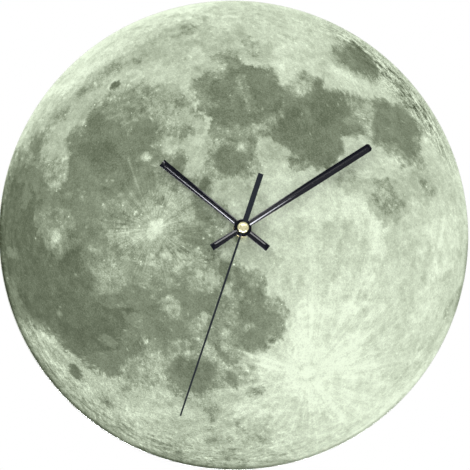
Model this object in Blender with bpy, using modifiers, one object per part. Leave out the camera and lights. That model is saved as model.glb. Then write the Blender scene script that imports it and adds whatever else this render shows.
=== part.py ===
"""A round wall clock: a printed acrylic disc in front of a battery movement, with three hands.

The clock is drawn lying on its back, as on a bench: X runs to the right, Y to twelve
o'clock, and Z from the wall to the viewer. One empty stands it up, so that in the scene
the dial faces -Y and the wall is the plane Y = 0. The hands turn about the bench's Z axis,
which meets the wall at the origin.
"""

import math

import bmesh
import bpy
from mathutils import Matrix, Vector

MM = 0.001

# Clearances
SEAT_GAP = 0.2 * MM            # between pieces that rest on each other
FIT_GAP = 0.1 * MM             # round a piece that is pressed or slipped into another
RUN_GAP = 0.1 * MM             # round anything that turns, and at its shoulders
LAYER_GAP = 0.3 * MM           # between the train and the plates on both sides of it
SPARE = 0.7 * MM               # round the board, and in other places with room
OVERCUT = 1.0 * MM             # how far a cutting shape stands out of what it cuts
ROOT = 0.5 * MM                # how far an added shape reaches into what it joins

# Dial
DIAL_DIAMETER = 300.0 * MM
DIAL_THICKNESS = 3.0 * MM
DIAL_CHAMFER = 0.3 * MM
DIAL_SHIFT_X = -4.8 * MM       # the disc's middle, seen from the shaft hole
DIAL_SHIFT_Y = -3.7 * MM
FILM_THICKNESS = 0.25 * MM
FILM_BORDER = 0.4 * MM         # bare acrylic left round the print

# Battery cell, lying across the foot of the case with its positive end at +X
CELL_DIAMETER = 14.2 * MM
CELL_LENGTH = 50.5 * MM
CELL_TIP_RADIUS = 2.7 * MM
CELL_TIP_LENGTH = 1.2 * MM
CELL_BASE_RADIUS = 4.5 * MM
CELL_EDGE = 0.7 * MM
SLEEVE_THICKNESS = 0.25 * MM
SLEEVE_LIP = 0.8 * MM
CELL_MARGIN = 0.6 * MM         # from the cell to the wall behind the clock
CELL_SIDE_GAP = 0.3 * MM       # above and below the cell

# Case and back cover
CASE_WALL = 1.2 * MM
FRONT_WALL = 1.0 * MM
CASE_CORNER = 3.0 * MM
CONTACT_ROOM = 1.55 * MM       # between each end of the cell and the side wall
CHAMBER_SPARE = 2.65 * MM      # below the train
STRIP_PASSAGE = 1.0 * MM       # left open for a contact at each end of the inner wall
COVER_THICKNESS = 1.2 * MM
LIP_THICKNESS = 0.8 * MM
LIP_DEPTH = 2.0 * MM

# Gear teeth
FIFTH_MODULE = 0.25 * MM       # fifth wheel and rotor pinion
THIRD_MODULE = 0.25 * MM       # third wheel and second pinion
CANNON_MODULE = 0.35 * MM      # cannon pinion, intermediate wheel and setting pinion
ROTOR_PINION_TEETH = 8
FIFTH_WHEEL_TEETH = 48
FIFTH_PINION_TEETH = 10
SECOND_WHEEL_TEETH = 50
SECOND_PINION_TEETH = 8
THIRD_WHEEL_TEETH = 64
THIRD_PINION_TEETH = 8
MINUTE_WHEEL_TEETH = 60
CANNON_PINION_TEETH = 12
MIDDLE_WHEEL_TEETH = 36
MIDDLE_PINION_TEETH = 12
HOUR_WHEEL_TEETH = 48
SETTING_PINION_TEETH = 12
WHEEL_THICKNESS = 0.8 * MM
PINION_SHARE = 0.7             # of a layer's depth, for the width of a pinion
DEDENDUM = 1.15                # how deep a tooth's foot lies inside the pitch circle
WHEEL_ADDENDUM = 0.8           # how far a tooth stands out of it, both in modules
PINION_ADDENDUM = 0.75

# Directions from one axis of the train to the next, in degrees from +X
FIFTH_DIRECTION = 20.0
ROTOR_DIRECTION = 60.0
THIRD_DIRECTION = 160.0
MIDDLE_DIRECTION = 90.0
SETTING_DIRECTION = 90.0

# Arbors, posts and the plate behind the train
ARBOR_RADIUS = 0.5 * MM
ARBOR_GAP = 0.35 * MM          # between the fifth arbor and the minute wheel
PIVOT_RADIUS = 0.35 * MM
PIVOT_LENGTH = 0.9 * MM
BRIDGE_THICKNESS = 1.0 * MM
BRIDGE_LIFT = 0.5 * MM         # from the cover to the plate
BRIDGE_MARGIN = 1.7 * MM
BOSS_RADIUS = 1.4 * MM
BOSS_HEIGHT = 1.5 * MM
POST_RADIUS = 1.5 * MM
PEG_RADIUS = 0.8 * MM
PEG_LENGTH = 0.9 * MM
POST_INSET = 6.8 * MM
POST_RISE = 3.2 * MM
MIDDLE_POST_RADIUS = 0.8 * MM
MIDDLE_POST_END = 0.4 * MM     # how far it stands out behind its wheel
MIDDLE_HUB_WALL = 0.35 * MM

# Setting knob at the back
KNOB_RADIUS = 4.5 * MM
KNOB_THICKNESS = 1.6 * MM
KNOB_RECESS = 0.4 * MM
KNOB_RIDGE = 0.25 * MM
KNOB_RIDGES = 20
KNOB_STEM_RADIUS = 1.0 * MM
KNOB_COLLAR_RADIUS = 1.6 * MM
KNOB_COLLAR_LENGTH = 0.6 * MM
WELL_GAP = 0.5 * MM
WELL_WALL = 1.0 * MM

# Motor
MAGNET_RADIUS = 2.5 * MM
MAGNET_LENGTH = 2.8 * MM
MAGNET_GAP = 0.5 * MM
ROTOR_ARBOR_RADIUS = 0.6 * MM
STATOR_THICKNESS = 1.0 * MM
STATOR_RIM = 1.3 * MM
STATOR_POST_RADIUS = 1.2 * MM
ARM_WIDTH = 3.5 * MM
ARM_LEFT = 3.9 * MM            # from the rotor to the middle of each arm
ARM_RIGHT = 9.8 * MM
COIL_RISE = 12.26 * MM         # from the rotor up to the coil
COIL_SPARE = 1.4 * MM          # from the bobbin up to the case
CORE_HEIGHT = 3.0 * MM
CORE_THICKNESS = 1.0 * MM
BOBBIN_RADIUS = 4.0 * MM
BOBBIN_FLANGE = 0.8 * MM
BOBBIN_GAP = 0.4 * MM
BARREL_RADIUS = 2.1 * MM
WINDING_RADIUS = 3.6 * MM

# Circuit board and what is on it
BOARD_THICKNESS = 0.8 * MM
BOARD_LIFT = 1.2 * MM          # the height of its posts
BOARD_POST_INSET = 6.8 * MM    # from each side wall
CHIP_RADIUS = 2.6 * MM
CHIP_HEIGHT = 1.1 * MM
CHIP_X = -8.0 * MM
CRYSTAL_RADIUS = 1.0 * MM
CRYSTAL_LENGTH = 6.0 * MM
CRYSTAL_INSET = 6.8 * MM       # from the wall at -X to the middle of the can
LEAD_THICKNESS = 0.3 * MM
LEAD_LENGTH = 1.2 * MM
LEAD_SPREAD = 0.5 * MM         # from the middle of the can to each lead

# Battery contacts
STRIP_THICKNESS = 0.3 * MM
STRIP_WIDTH = 6.0 * MM
STRIP_BOW = 3.5 * MM           # half the height of the stretch that bows out to the cell
STRIP_TOUCH = 1.0 * MM         # half the height of the flat that meets it
STRIP_FOOT = 2.0 * MM

# Threaded tube and what it clamps
TUBE_RADIUS = 4.0 * MM
TUBE_CHAMFER = 0.3 * MM
FLANGE_RADIUS = 5.5 * MM
FLANGE_THICKNESS = 1.0 * MM
TUBE_SHOW = 1.15 * MM          # thread left in front of the nut
RUBBER_RADIUS = 8.0 * MM
RUBBER_THICKNESS = 1.0 * MM
WASHER_RADIUS = 5.5 * MM
WASHER_THICKNESS = 0.5 * MM
NUT_ACROSS_FLATS = 9.5 * MM
NUT_THICKNESS = 2.0 * MM
NUT_CHAMFER = 0.4 * MM

# Hanger
HANGER_THICKNESS = 1.0 * MM
HANGER_WIDTH = 22.0 * MM
HANGER_BELOW = 10.0 * MM       # below the shaft
HANGER_ABOVE = 18.0 * MM       # above the case
HANGER_DEPTH = 4.0 * MM        # from the wall to the middle of the upright
NAIL_HOLE_RADIUS = 4.0 * MM
NAIL_HOLE_DROP = 10.0 * MM     # from the hanger's top down to the round hole
NAIL_SLOT_WIDTH = 4.5 * MM
NAIL_SLOT_RISE = 5.0 * MM

# Pipes that carry the hands, one inside the other
PIN_RADIUS = 0.5 * MM
MINUTE_PIPE_RADIUS = 1.5 * MM
HOUR_PIPE_RADIUS = 2.5 * MM
HOUR_SHOULDER_RADIUS = 3.6 * MM
PIPE_SHORT = 0.1 * MM          # a pipe ends this far inside its bush

# Hands; widths are across a blade, angles are clockwise from twelve
HAND_THICKNESS = 0.5 * MM
HAND_SPACING = 0.9 * MM
HUB_RADIUS = 5.6 * MM
RIB_START = 0.5 * MM           # from the bush's flange to the foot of a rib
RIB_SINK = 0.1 * MM
RIB_HEIGHT = 0.45 * MM
RIB_TIP_HEIGHT = 0.2 * MM
RIB_END = 3.0 * MM             # from the end of a blade to the end of its rib
RIB_TOP_SHARE = 0.25
RIB_TIP_WIDTH = 0.7 * MM
BUSH_WALL = 0.9 * MM
BUSH_FLANGE_WALL = 1.6 * MM
BUSH_FLANGE_THICKNESS = 0.5 * MM
BUSH_TAIL = 0.5 * MM           # how far a bush stands out behind its hand
HOUR_LENGTH = 66.0 * MM
HOUR_TAIL = 20.8 * MM
HOUR_TIP_WIDTH = 5.1 * MM
HOUR_ROOT_WIDTH = 3.5 * MM
HOUR_TAIL_WIDTH = 4.3 * MM
HOUR_RIB_WIDTH = 2.6 * MM
HOUR_ANGLE = 308.8
MINUTE_LENGTH = 97.0 * MM
MINUTE_TAIL = 23.6 * MM
MINUTE_TIP_WIDTH = 5.2 * MM
MINUTE_ROOT_WIDTH = 3.4 * MM
MINUTE_TAIL_WIDTH = 4.6 * MM
MINUTE_SWELL = 52.0 * MM       # where the blade reaches its full width
MINUTE_CHAMFER = 1.1 * MM
MINUTE_RIB_WIDTH = 2.6 * MM
MINUTE_ANGLE = 57.3
SECOND_LENGTH = 126.0 * MM
SECOND_TAIL = 36.3 * MM
SECOND_TIP_WIDTH = 1.1 * MM
SECOND_ROOT_WIDTH = 1.4 * MM
SECOND_TAIL_WIDTH = 3.45 * MM
SECOND_THICKNESS = 0.4 * MM
SECOND_HUB_RADIUS = 2.8 * MM
SECOND_ANGLE = 198.4
CAP_RADIUS = 3.6 * MM
CAP_HEIGHT = 1.8 * MM
CAP_EDGE = 0.5 * MM
CAP_BARREL_RADIUS = 1.3 * MM
CAP_TAIL = 0.4 * MM

# Sides of a full circle
DIAL_SIDES = 96
LARGE_SIDES = 32
ROUND_SIDES = 24
SMALL_SIDES = 12
NUT_SIDES = 6
QUARTER_STEPS = 4              # of a quarter turn, on small rounded edges


def tip_radius(teeth, module):
    """Radius over the teeth of a wheel."""
    return (teeth / 2 + WHEEL_ADDENDUM) * module


def centre_distance(teeth_a, teeth_b, module):
    """Distance between the axes of two wheels that mesh."""
    return (teeth_a + teeth_b) / 2 * module


def module_across(distance, teeth_a, teeth_b):
    """The module that lets two wheels mesh across a distance that is given."""
    return 2 * distance / (teeth_a + teeth_b)


def stepped(start, distance, degrees):
    """The point that lies a distance from another, in a direction counted from +X."""
    angle = math.radians(degrees)
    return (start[0] + distance * math.cos(angle), start[1] + distance * math.sin(angle))


# Axes of the train, in the plane of the dial. The fifth arbor just clears the minute wheel.
THIRD_DISTANCE = centre_distance(THIRD_WHEEL_TEETH, SECOND_PINION_TEETH, THIRD_MODULE)
MINUTE_MODULE = module_across(THIRD_DISTANCE, MINUTE_WHEEL_TEETH, THIRD_PINION_TEETH)
MINUTE_TIP = tip_radius(MINUTE_WHEEL_TEETH, MINUTE_MODULE)
FIFTH_DISTANCE = MINUTE_TIP + ARBOR_GAP + ARBOR_RADIUS
SECOND_MODULE = module_across(FIFTH_DISTANCE, SECOND_WHEEL_TEETH, FIFTH_PINION_TEETH)
ROTOR_DISTANCE = centre_distance(FIFTH_WHEEL_TEETH, ROTOR_PINION_TEETH, FIFTH_MODULE)
MIDDLE_DISTANCE = centre_distance(MIDDLE_WHEEL_TEETH, CANNON_PINION_TEETH, CANNON_MODULE)
SETTING_DISTANCE = centre_distance(MIDDLE_WHEEL_TEETH, SETTING_PINION_TEETH, CANNON_MODULE)
HOUR_MODULE = module_across(MIDDLE_DISTANCE, HOUR_WHEEL_TEETH, MIDDLE_PINION_TEETH)
SHAFT = (0.0, 0.0)
THIRD_AXIS = stepped(SHAFT, THIRD_DISTANCE, THIRD_DIRECTION)
FIFTH_AXIS = stepped(SHAFT, FIFTH_DISTANCE, FIFTH_DIRECTION)
ROTOR_AXIS = stepped(FIFTH_AXIS, ROTOR_DISTANCE, ROTOR_DIRECTION)
MIDDLE_AXIS = stepped(SHAFT, MIDDLE_DISTANCE, MIDDLE_DIRECTION)
SETTING_AXIS = stepped(MIDDLE_AXIS, SETTING_DISTANCE, SETTING_DIRECTION)

# The case in the plane of the dial: as wide as the cell, and as tall as the train, coil and cell
INNER_HALF = CELL_LENGTH / 2 + CONTACT_ROOM
CASE_HALF = INNER_HALF + CASE_WALL
CHAMBER_LOW = -(MINUTE_TIP + CHAMBER_SPARE)
BAY_HIGH = CHAMBER_LOW - CASE_WALL
CELL_Y = BAY_HIGH - CELL_SIDE_GAP - CELL_DIAMETER / 2
BAY_LOW = CELL_Y - CELL_DIAMETER / 2 - CELL_SIDE_GAP
CASE_LOW = BAY_LOW - CASE_WALL
COIL_Y = ROTOR_AXIS[1] + COIL_RISE
CHAMBER_HIGH = COIL_Y + BOBBIN_RADIUS + COIL_SPARE
CASE_HIGH = CHAMBER_HIGH + CASE_WALL
BOARD_LOW = SETTING_AXIS[1] + BOSS_RADIUS + SPARE
BOARD_HIGH = CHAMBER_HIGH - SPARE
BOARD_Y = (BOARD_LOW + BOARD_HIGH) / 2

# Heights from the wall inside the case, which is as deep as the cell
CELL_Z = CELL_MARGIN + CELL_DIAMETER / 2
FLOOR = CELL_MARGIN + CELL_DIAMETER + SEAT_GAP
CASE_DEPTH = FLOOR + FRONT_WALL
RIM = COVER_THICKNESS + SEAT_GAP
BRIDGE_REAR = COVER_THICKNESS + BRIDGE_LIFT
BRIDGE_FRONT = BRIDGE_REAR + BRIDGE_THICKNESS
FLANGE_FRONT = FLOOR - SEAT_GAP
FLANGE_REAR = FLANGE_FRONT - FLANGE_THICKNESS
TRAIN_REAR = BRIDGE_FRONT + LAYER_GAP
TRAIN_FRONT = FLANGE_REAR - LAYER_GAP
LAYERS = 6
LAYER_DEPTH = (TRAIN_FRONT - TRAIN_REAR) / LAYERS
PINION_WIDTH = LAYER_DEPTH * PINION_SHARE
REAR_SHOULDER = BRIDGE_FRONT + RUN_GAP
FRONT_SHOULDER = FLOOR - BOSS_HEIGHT - RUN_GAP
MAGNET_REAR = TRAIN_REAR + 2 * LAYER_DEPTH + RUN_GAP
MAGNET_FRONT = MAGNET_REAR + MAGNET_LENGTH
STATOR_REAR = (MAGNET_REAR + MAGNET_FRONT - STATOR_THICKNESS) / 2
STATOR_FRONT = STATOR_REAR + STATOR_THICKNESS
CORE_FRONT = STATOR_REAR - SEAT_GAP
CORE_REAR = CORE_FRONT - CORE_THICKNESS
COIL_Z = (CORE_REAR + CORE_FRONT) / 2
BOARD_FRONT = FLOOR - BOARD_LIFT - SEAT_GAP
BOARD_REAR = BOARD_FRONT - BOARD_THICKNESS
KNOB_FRONT = KNOB_RECESS + KNOB_THICKNESS
WELL_FLOOR = KNOB_FRONT + LAYER_GAP
WELL_FRONT = WELL_FLOOR + WELL_WALL
WELL_RADIUS = KNOB_RADIUS + WELL_GAP

# Heights from the wall in front of the case, each piece seated on the one before it
HANGER_REAR = CASE_DEPTH + SEAT_GAP
HANGER_FRONT = HANGER_REAR + HANGER_THICKNESS
RUBBER_REAR = HANGER_FRONT + SEAT_GAP
RUBBER_FRONT = RUBBER_REAR + RUBBER_THICKNESS
DIAL_REAR = RUBBER_FRONT + SEAT_GAP
DIAL_FRONT = DIAL_REAR + DIAL_THICKNESS
FILM_REAR = DIAL_FRONT + FIT_GAP
FILM_FRONT = FILM_REAR + FILM_THICKNESS
WASHER_REAR = FILM_FRONT + SEAT_GAP
WASHER_FRONT = WASHER_REAR + WASHER_THICKNESS
NUT_REAR = WASHER_FRONT + SEAT_GAP
NUT_FRONT = NUT_REAR + NUT_THICKNESS
TUBE_FRONT = NUT_FRONT + TUBE_SHOW
TUBE_HOLE = TUBE_RADIUS + SEAT_GAP
HOUR_HAND_REAR = TUBE_FRONT + HAND_SPACING
HOUR_BUSH_FRONT = HOUR_HAND_REAR + HAND_THICKNESS + FIT_GAP + BUSH_FLANGE_THICKNESS
MINUTE_HAND_REAR = HOUR_BUSH_FRONT + HAND_SPACING
MINUTE_BUSH_FRONT = MINUTE_HAND_REAR + HAND_THICKNESS + FIT_GAP + BUSH_FLANGE_THICKNESS
SECOND_HAND_REAR = MINUTE_BUSH_FRONT + HAND_SPACING
CAP_REAR = SECOND_HAND_REAR + SECOND_THICKNESS + FIT_GAP
CAP_FRONT = CAP_REAR + CAP_HEIGHT
PIN_FRONT = CAP_REAR + CAP_HEIGHT / 2


def layer(number):
    """Height of the middle of a layer of the train, counted from the back."""
    return TRAIN_REAR + (number + 0.5) * LAYER_DEPTH


# The scene: one collection for the pieces, one for the shapes that cut or join them

for old in list(bpy.data.objects):
    bpy.data.objects.remove(old, do_unlink=True)

PIECES = bpy.data.collections.new("moon_wall_clock")
TOOLS = bpy.data.collections.new("cutters")
bpy.context.scene.collection.children.link(PIECES)
bpy.context.scene.collection.children.link(TOOLS)

BENCH = bpy.data.objects.new("bench", None)
BENCH.rotation_euler = (math.radians(90), 0, 0)
PIECES.objects.link(BENCH)

# Turns a shape that was drawn along Z so that it lies along X
ALONG_X = Matrix(((0, 0, 1, 0), (1, 0, 0, 0), (0, 1, 0, 0), (0, 0, 0, 1)))


def finish(name, colour, roughness, metallic=0.0):
    """A plain Principled material."""
    material = bpy.data.materials.new(name)
    material.use_nodes = True
    shader = material.node_tree.nodes["Principled BSDF"]
    shader.inputs["Base Color"].default_value = (*colour, 1.0)
    shader.inputs["Roughness"].default_value = roughness
    shader.inputs["Metallic"].default_value = metallic
    material.diffuse_color = (*colour, 1.0)
    return material


def place(name, mesh, collection, axis=SHAFT, turn=0.0):
    """Puts a mesh on the bench with its origin on an axis, turned clockwise by some degrees."""
    shape = bpy.data.objects.new(name, mesh)
    shape.parent = BENCH
    shape.location = (axis[0], axis[1], 0)
    shape.rotation_euler = (0, 0, -math.radians(turn))
    collection.objects.link(shape)
    return shape


def piece(name, mesh, material, axis=SHAFT, turn=0.0):
    """A piece of the clock."""
    mesh.materials.append(material)
    return place(name, mesh, PIECES, axis, turn)


def tool(name, mesh, axis=SHAFT, turn=0.0):
    """A shape that only cuts or joins, which the render leaves out."""
    shape = place(name, mesh, TOOLS, axis, turn)
    shape.hide_render = True
    shape.display_type = "WIRE"
    return shape


def combine(target, operation, shape):
    """Cuts a shape from a piece, adds it, or keeps what they share."""
    change = target.modifiers.new(shape.name, "BOOLEAN")
    change.operation = operation
    change.solver = "EXACT"
    change.object = shape


def smooth(mesh):
    """Smooth shading, with edges sharper than 35 degrees kept."""
    mesh.shade_smooth()
    mesh.set_sharp_from_angle(angle=math.radians(35))
    return mesh


def closed_shapes(name, *shapes):
    """A mesh of closed shapes that stand apart; each shape draws itself into a BMesh."""
    work = bmesh.new()
    for draw in shapes:
        draw(work)
    mesh = bpy.data.meshes.new(name)
    work.to_mesh(mesh)
    work.free()
    return smooth(mesh)


def block(left, right, low, high, rear, front):
    """A box between its six faces."""
    size = Matrix.Diagonal((right - left, high - low, front - rear, 1.0))
    middle = Matrix.Translation(((left + right) / 2, (low + high) / 2, (rear + front) / 2))

    def draw(work):
        bmesh.ops.create_cube(work, size=1.0, matrix=middle @ size)

    return draw


def drum(radius, rear, front, centre=SHAFT, sides=ROUND_SIDES):
    """A cylinder that stands on a point of the bench."""
    middle = Matrix.Translation((centre[0], centre[1], (rear + front) / 2))

    def draw(work):
        bmesh.ops.create_cone(work, cap_ends=True, segments=sides, radius1=radius, radius2=radius,
                              depth=front - rear, matrix=middle)

    return draw


def bar(low, high, low_width, high_width, base, low_top, high_top):
    """A rib along Y that tapers in width and height, with a narrow flat top."""

    def draw(work):
        made = bmesh.ops.create_cube(work, size=1.0)
        for vertex in made["verts"]:
            at_high = vertex.co.y > 0
            on_top = vertex.co.z > 0
            half = (high_width if at_high else low_width) / 2
            if on_top:
                half *= RIB_TOP_SHARE
            top = high_top if at_high else low_top
            height = top if on_top else base
            vertex.co = (math.copysign(half, vertex.co.x), high if at_high else low, height)

    return draw


def circle(radius, sides, centre=SHAFT):
    """Points of a circle, anticlockwise."""
    angles = [2 * math.pi * step / sides for step in range(sides)]
    return [(centre[0] + radius * math.cos(a), centre[1] + radius * math.sin(a)) for a in angles]


def quarter(centre, radius, start):
    """Points of a quarter turn, anticlockwise from an angle in degrees."""
    points = []
    for step in range(QUARTER_STEPS + 1):
        angle = math.radians(start + 90 * step / QUARTER_STEPS)
        points.append((centre[0] + radius * math.cos(angle), centre[1] + radius * math.sin(angle)))
    return points


def rounded_box(left, right, low, high, radius):
    """Outline of a rectangle with round corners, anticlockwise from the lower right."""
    return (quarter((right - radius, low + radius), radius, -90)
            + quarter((right - radius, high - radius), radius, 0)
            + quarter((left + radius, high - radius), radius, 90)
            + quarter((left + radius, low + radius), radius, 180))


def flat_mesh(name, outlines, rear, front):
    """A flat plate from its outline and the outlines of its holes.

    The curve is drawn in millimetres and brought to size as a mesh, because filling a
    curve takes points closer than 0.03 of its own units as one.
    """
    curve = bpy.data.curves.new(name, "CURVE")
    curve.dimensions = "2D"
    curve.fill_mode = "BOTH"
    curve.extrude = (front - rear) / 2 / MM
    for points in outlines:
        spline = curve.splines.new("POLY")
        spline.points.add(len(points) - 1)
        for target, (x, y) in zip(spline.points, points):
            target.co = (x / MM, y / MM, 0, 1)
        spline.use_cyclic_u = True
    guide = bpy.data.objects.new(name, curve)
    TOOLS.objects.link(guide)
    bpy.context.view_layer.update()
    evaluated = guide.evaluated_get(bpy.context.evaluated_depsgraph_get())
    mesh = bpy.data.meshes.new_from_object(evaluated)
    bpy.data.objects.remove(guide, do_unlink=True)
    bpy.data.curves.remove(curve)
    work = bmesh.new()
    work.from_mesh(mesh)
    bmesh.ops.remove_doubles(work, verts=work.verts, dist=0.001)
    bmesh.ops.recalc_face_normals(work, faces=work.faces)
    to_size = Matrix.Translation((0, 0, (rear + front) / 2)) @ Matrix.Scale(MM, 4)
    bmesh.ops.transform(work, matrix=to_size, verts=work.verts)
    work.to_mesh(mesh)
    work.free()
    return smooth(mesh)


def turn_on_lathe(shape, sides):
    """Turns a profile about the Z axis."""
    screw = shape.modifiers.new("lathe", "SCREW")
    screw.steps = sides
    screw.render_steps = sides
    screw.use_merge_vertices = True
    screw.merge_threshold = 0.001 * MM
    return shape


def profile_mesh(name, points, ring=False):
    """A profile of radii and heights, down its outer side; a ring comes up again inside."""
    last = len(points) - 1
    edges = [(step, step + 1) for step in range(last)]
    if ring:
        edges.append((last, 0))
    mesh = bpy.data.meshes.new(name)
    mesh.from_pydata([(radius, 0, height) for radius, height in points], edges, [])
    return mesh


def turned(name, points, material, axis=SHAFT, sides=ROUND_SIDES, ring=False):
    """A turned piece."""
    return turn_on_lathe(piece(name, profile_mesh(name, points, ring), material, axis), sides)


def turned_tool(name, points, axis=SHAFT, sides=ROUND_SIDES):
    """A turned shape that cuts or joins."""
    return turn_on_lathe(tool(name, profile_mesh(name, points), axis), sides)


def tube_profile(inner, outer, rear, front):
    """Section of a plain ring."""
    return [(outer, front), (outer, rear), (inner, rear), (inner, front)]


def bent_strip(path, thickness):
    """Outline of a sheet of even thickness that follows a path, mitred where it bends."""
    points = [Vector(point) for point in path]
    runs = [(b - a).normalized() for a, b in zip(points, points[1:])]
    left = []
    right = []
    for step, point in enumerate(points):
        before = runs[max(step - 1, 0)]
        after = runs[min(step, len(runs) - 1)]
        across = Vector((-before.y, before.x)) + Vector((-after.y, after.x))
        across.normalize()
        reach = thickness / 2 / across.dot(Vector((-after.y, after.x)))
        left.append(tuple(point + across * reach))
        right.append(tuple(point - across * reach))
    return right + left[::-1]


# Gears. A tooth's corners are given from its foot to its tip: the distance from the pitch
# circle in modules, and half the tooth's width as a share of the pitch.

WHEEL_TOOTH = ((-DEDENDUM, 0.27), (WHEEL_ADDENDUM, 0.09))
PINION_TOOTH = ((-DEDENDUM, 0.25), (0.0, 0.20), (PINION_ADDENDUM, 0.10))


def gear_outline(teeth, module, phase, tooth):
    """Outline of a gear that has the middle of a tooth at the angle phase."""
    pitch = 2 * math.pi / teeth
    rising = [(out, -half) for out, half in tooth]
    falling = [(out, half) for out, half in reversed(tooth)]
    points = []
    for number in range(teeth):
        for out, share in rising + falling:
            radius = (teeth / 2 + out) * module
            angle = phase + (number + share) * pitch
            points.append((radius * math.cos(angle), radius * math.sin(angle)))
    return points


def meshed(teeth_a, phase_a, teeth_b, degrees):
    """Phase of gear B that puts a gap where gear A has a tooth, with B in that direction from A."""
    direction = math.radians(degrees)
    return direction + math.pi - (math.pi - teeth_a * (direction - phase_a)) / teeth_b


def wheel_mesh(name, teeth, module, phase, number):
    """A wheel in a layer of the train."""
    outline = gear_outline(teeth, module, phase, WHEEL_TOOTH)
    middle = layer(number)
    return flat_mesh(name, [outline], middle - WHEEL_THICKNESS / 2, middle + WHEEL_THICKNESS / 2)


def pinion_mesh(name, teeth, module, phase, number):
    """A pinion in a layer of the train."""
    outline = gear_outline(teeth, module, phase, PINION_TOOTH)
    middle = layer(number)
    return flat_mesh(name, [outline], middle - PINION_WIDTH / 2, middle + PINION_WIDTH / 2)


def arbor_profile(radius, front=FRONT_SHOULDER, front_pivot=PIVOT_LENGTH):
    """An arbor between its two pivots, or up to its front where that has none."""
    points = [(0, front + front_pivot), (PIVOT_RADIUS, front + front_pivot), (PIVOT_RADIUS, front)]
    if not front_pivot:
        points = [(0, front)]
    return points + [(radius, front), (radius, REAR_SHOULDER), (PIVOT_RADIUS, REAR_SHOULDER),
                     (PIVOT_RADIUS, REAR_SHOULDER - PIVOT_LENGTH), (0, REAR_SHOULDER - PIVOT_LENGTH)]


BLACK_PLASTIC = finish("black_plastic", (0.018, 0.018, 0.020), 0.45)
WHITE_PLASTIC = finish("white_plastic", (0.80, 0.80, 0.76), 0.40)
ACRYLIC = finish("white_acrylic", (0.86, 0.88, 0.84), 0.12)
PRINT = finish("pale_green_print", (0.60, 0.72, 0.52), 0.35)
HAND_LACQUER = finish("black_lacquer", (0.012, 0.013, 0.018), 0.12)
SECOND_LACQUER = finish("dark_grey_lacquer", (0.028, 0.032, 0.036), 0.50)
BRASS = finish("pale_brass", (0.82, 0.74, 0.46), 0.28, 1.0)
STEEL = finish("zinc_plated_steel", (0.60, 0.61, 0.62), 0.35, 1.0)
SPRING = finish("plated_spring_strip", (0.70, 0.69, 0.64), 0.30, 1.0)
SOFT_IRON = finish("soft_iron", (0.42, 0.42, 0.42), 0.40, 1.0)
MAGNET = finish("ferrite", (0.05, 0.05, 0.055), 0.55)
COPPER = finish("enamelled_copper", (0.72, 0.30, 0.12), 0.30, 1.0)
BOARD = finish("brown_board", (0.35, 0.20, 0.08), 0.50)
EPOXY = finish("black_epoxy", (0.01, 0.01, 0.01), 0.25)
RUBBER = finish("black_rubber", (0.02, 0.02, 0.02), 0.85)
SLEEVE = finish("cell_sleeve", (0.06, 0.10, 0.16), 0.30)


def lay_along_x(shape, middle):
    """Lays a shape that was drawn along Z on its side, about a point of the bench."""
    shape.location = middle
    shape.rotation_euler = ALONG_X.to_euler()


def bridge_posts():
    """Where the four posts of the rear plate stand."""
    side = INNER_HALF - POST_INSET
    low = CHAMBER_LOW + POST_RISE
    left_high = THIRD_AXIS[1] + tip_radius(THIRD_WHEEL_TEETH, THIRD_MODULE)
    right_high = ROTOR_AXIS[1] - MAGNET_RADIUS
    return [(-side, low), (side, low), (side, right_high), (-side, left_high)]


def stator_posts():
    """Where the stator rests: at the foot of its left arm, and half way along its slanted arm."""
    x, y = ROTOR_AXIS
    rim = MAGNET_RADIUS + MAGNET_GAP + STATOR_RIM
    return [(x - ARM_LEFT, y + rim + ARM_WIDTH / 2), (x + (rim + ARM_RIGHT) / 2, y + rim + STATOR_RIM / 2)]


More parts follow.
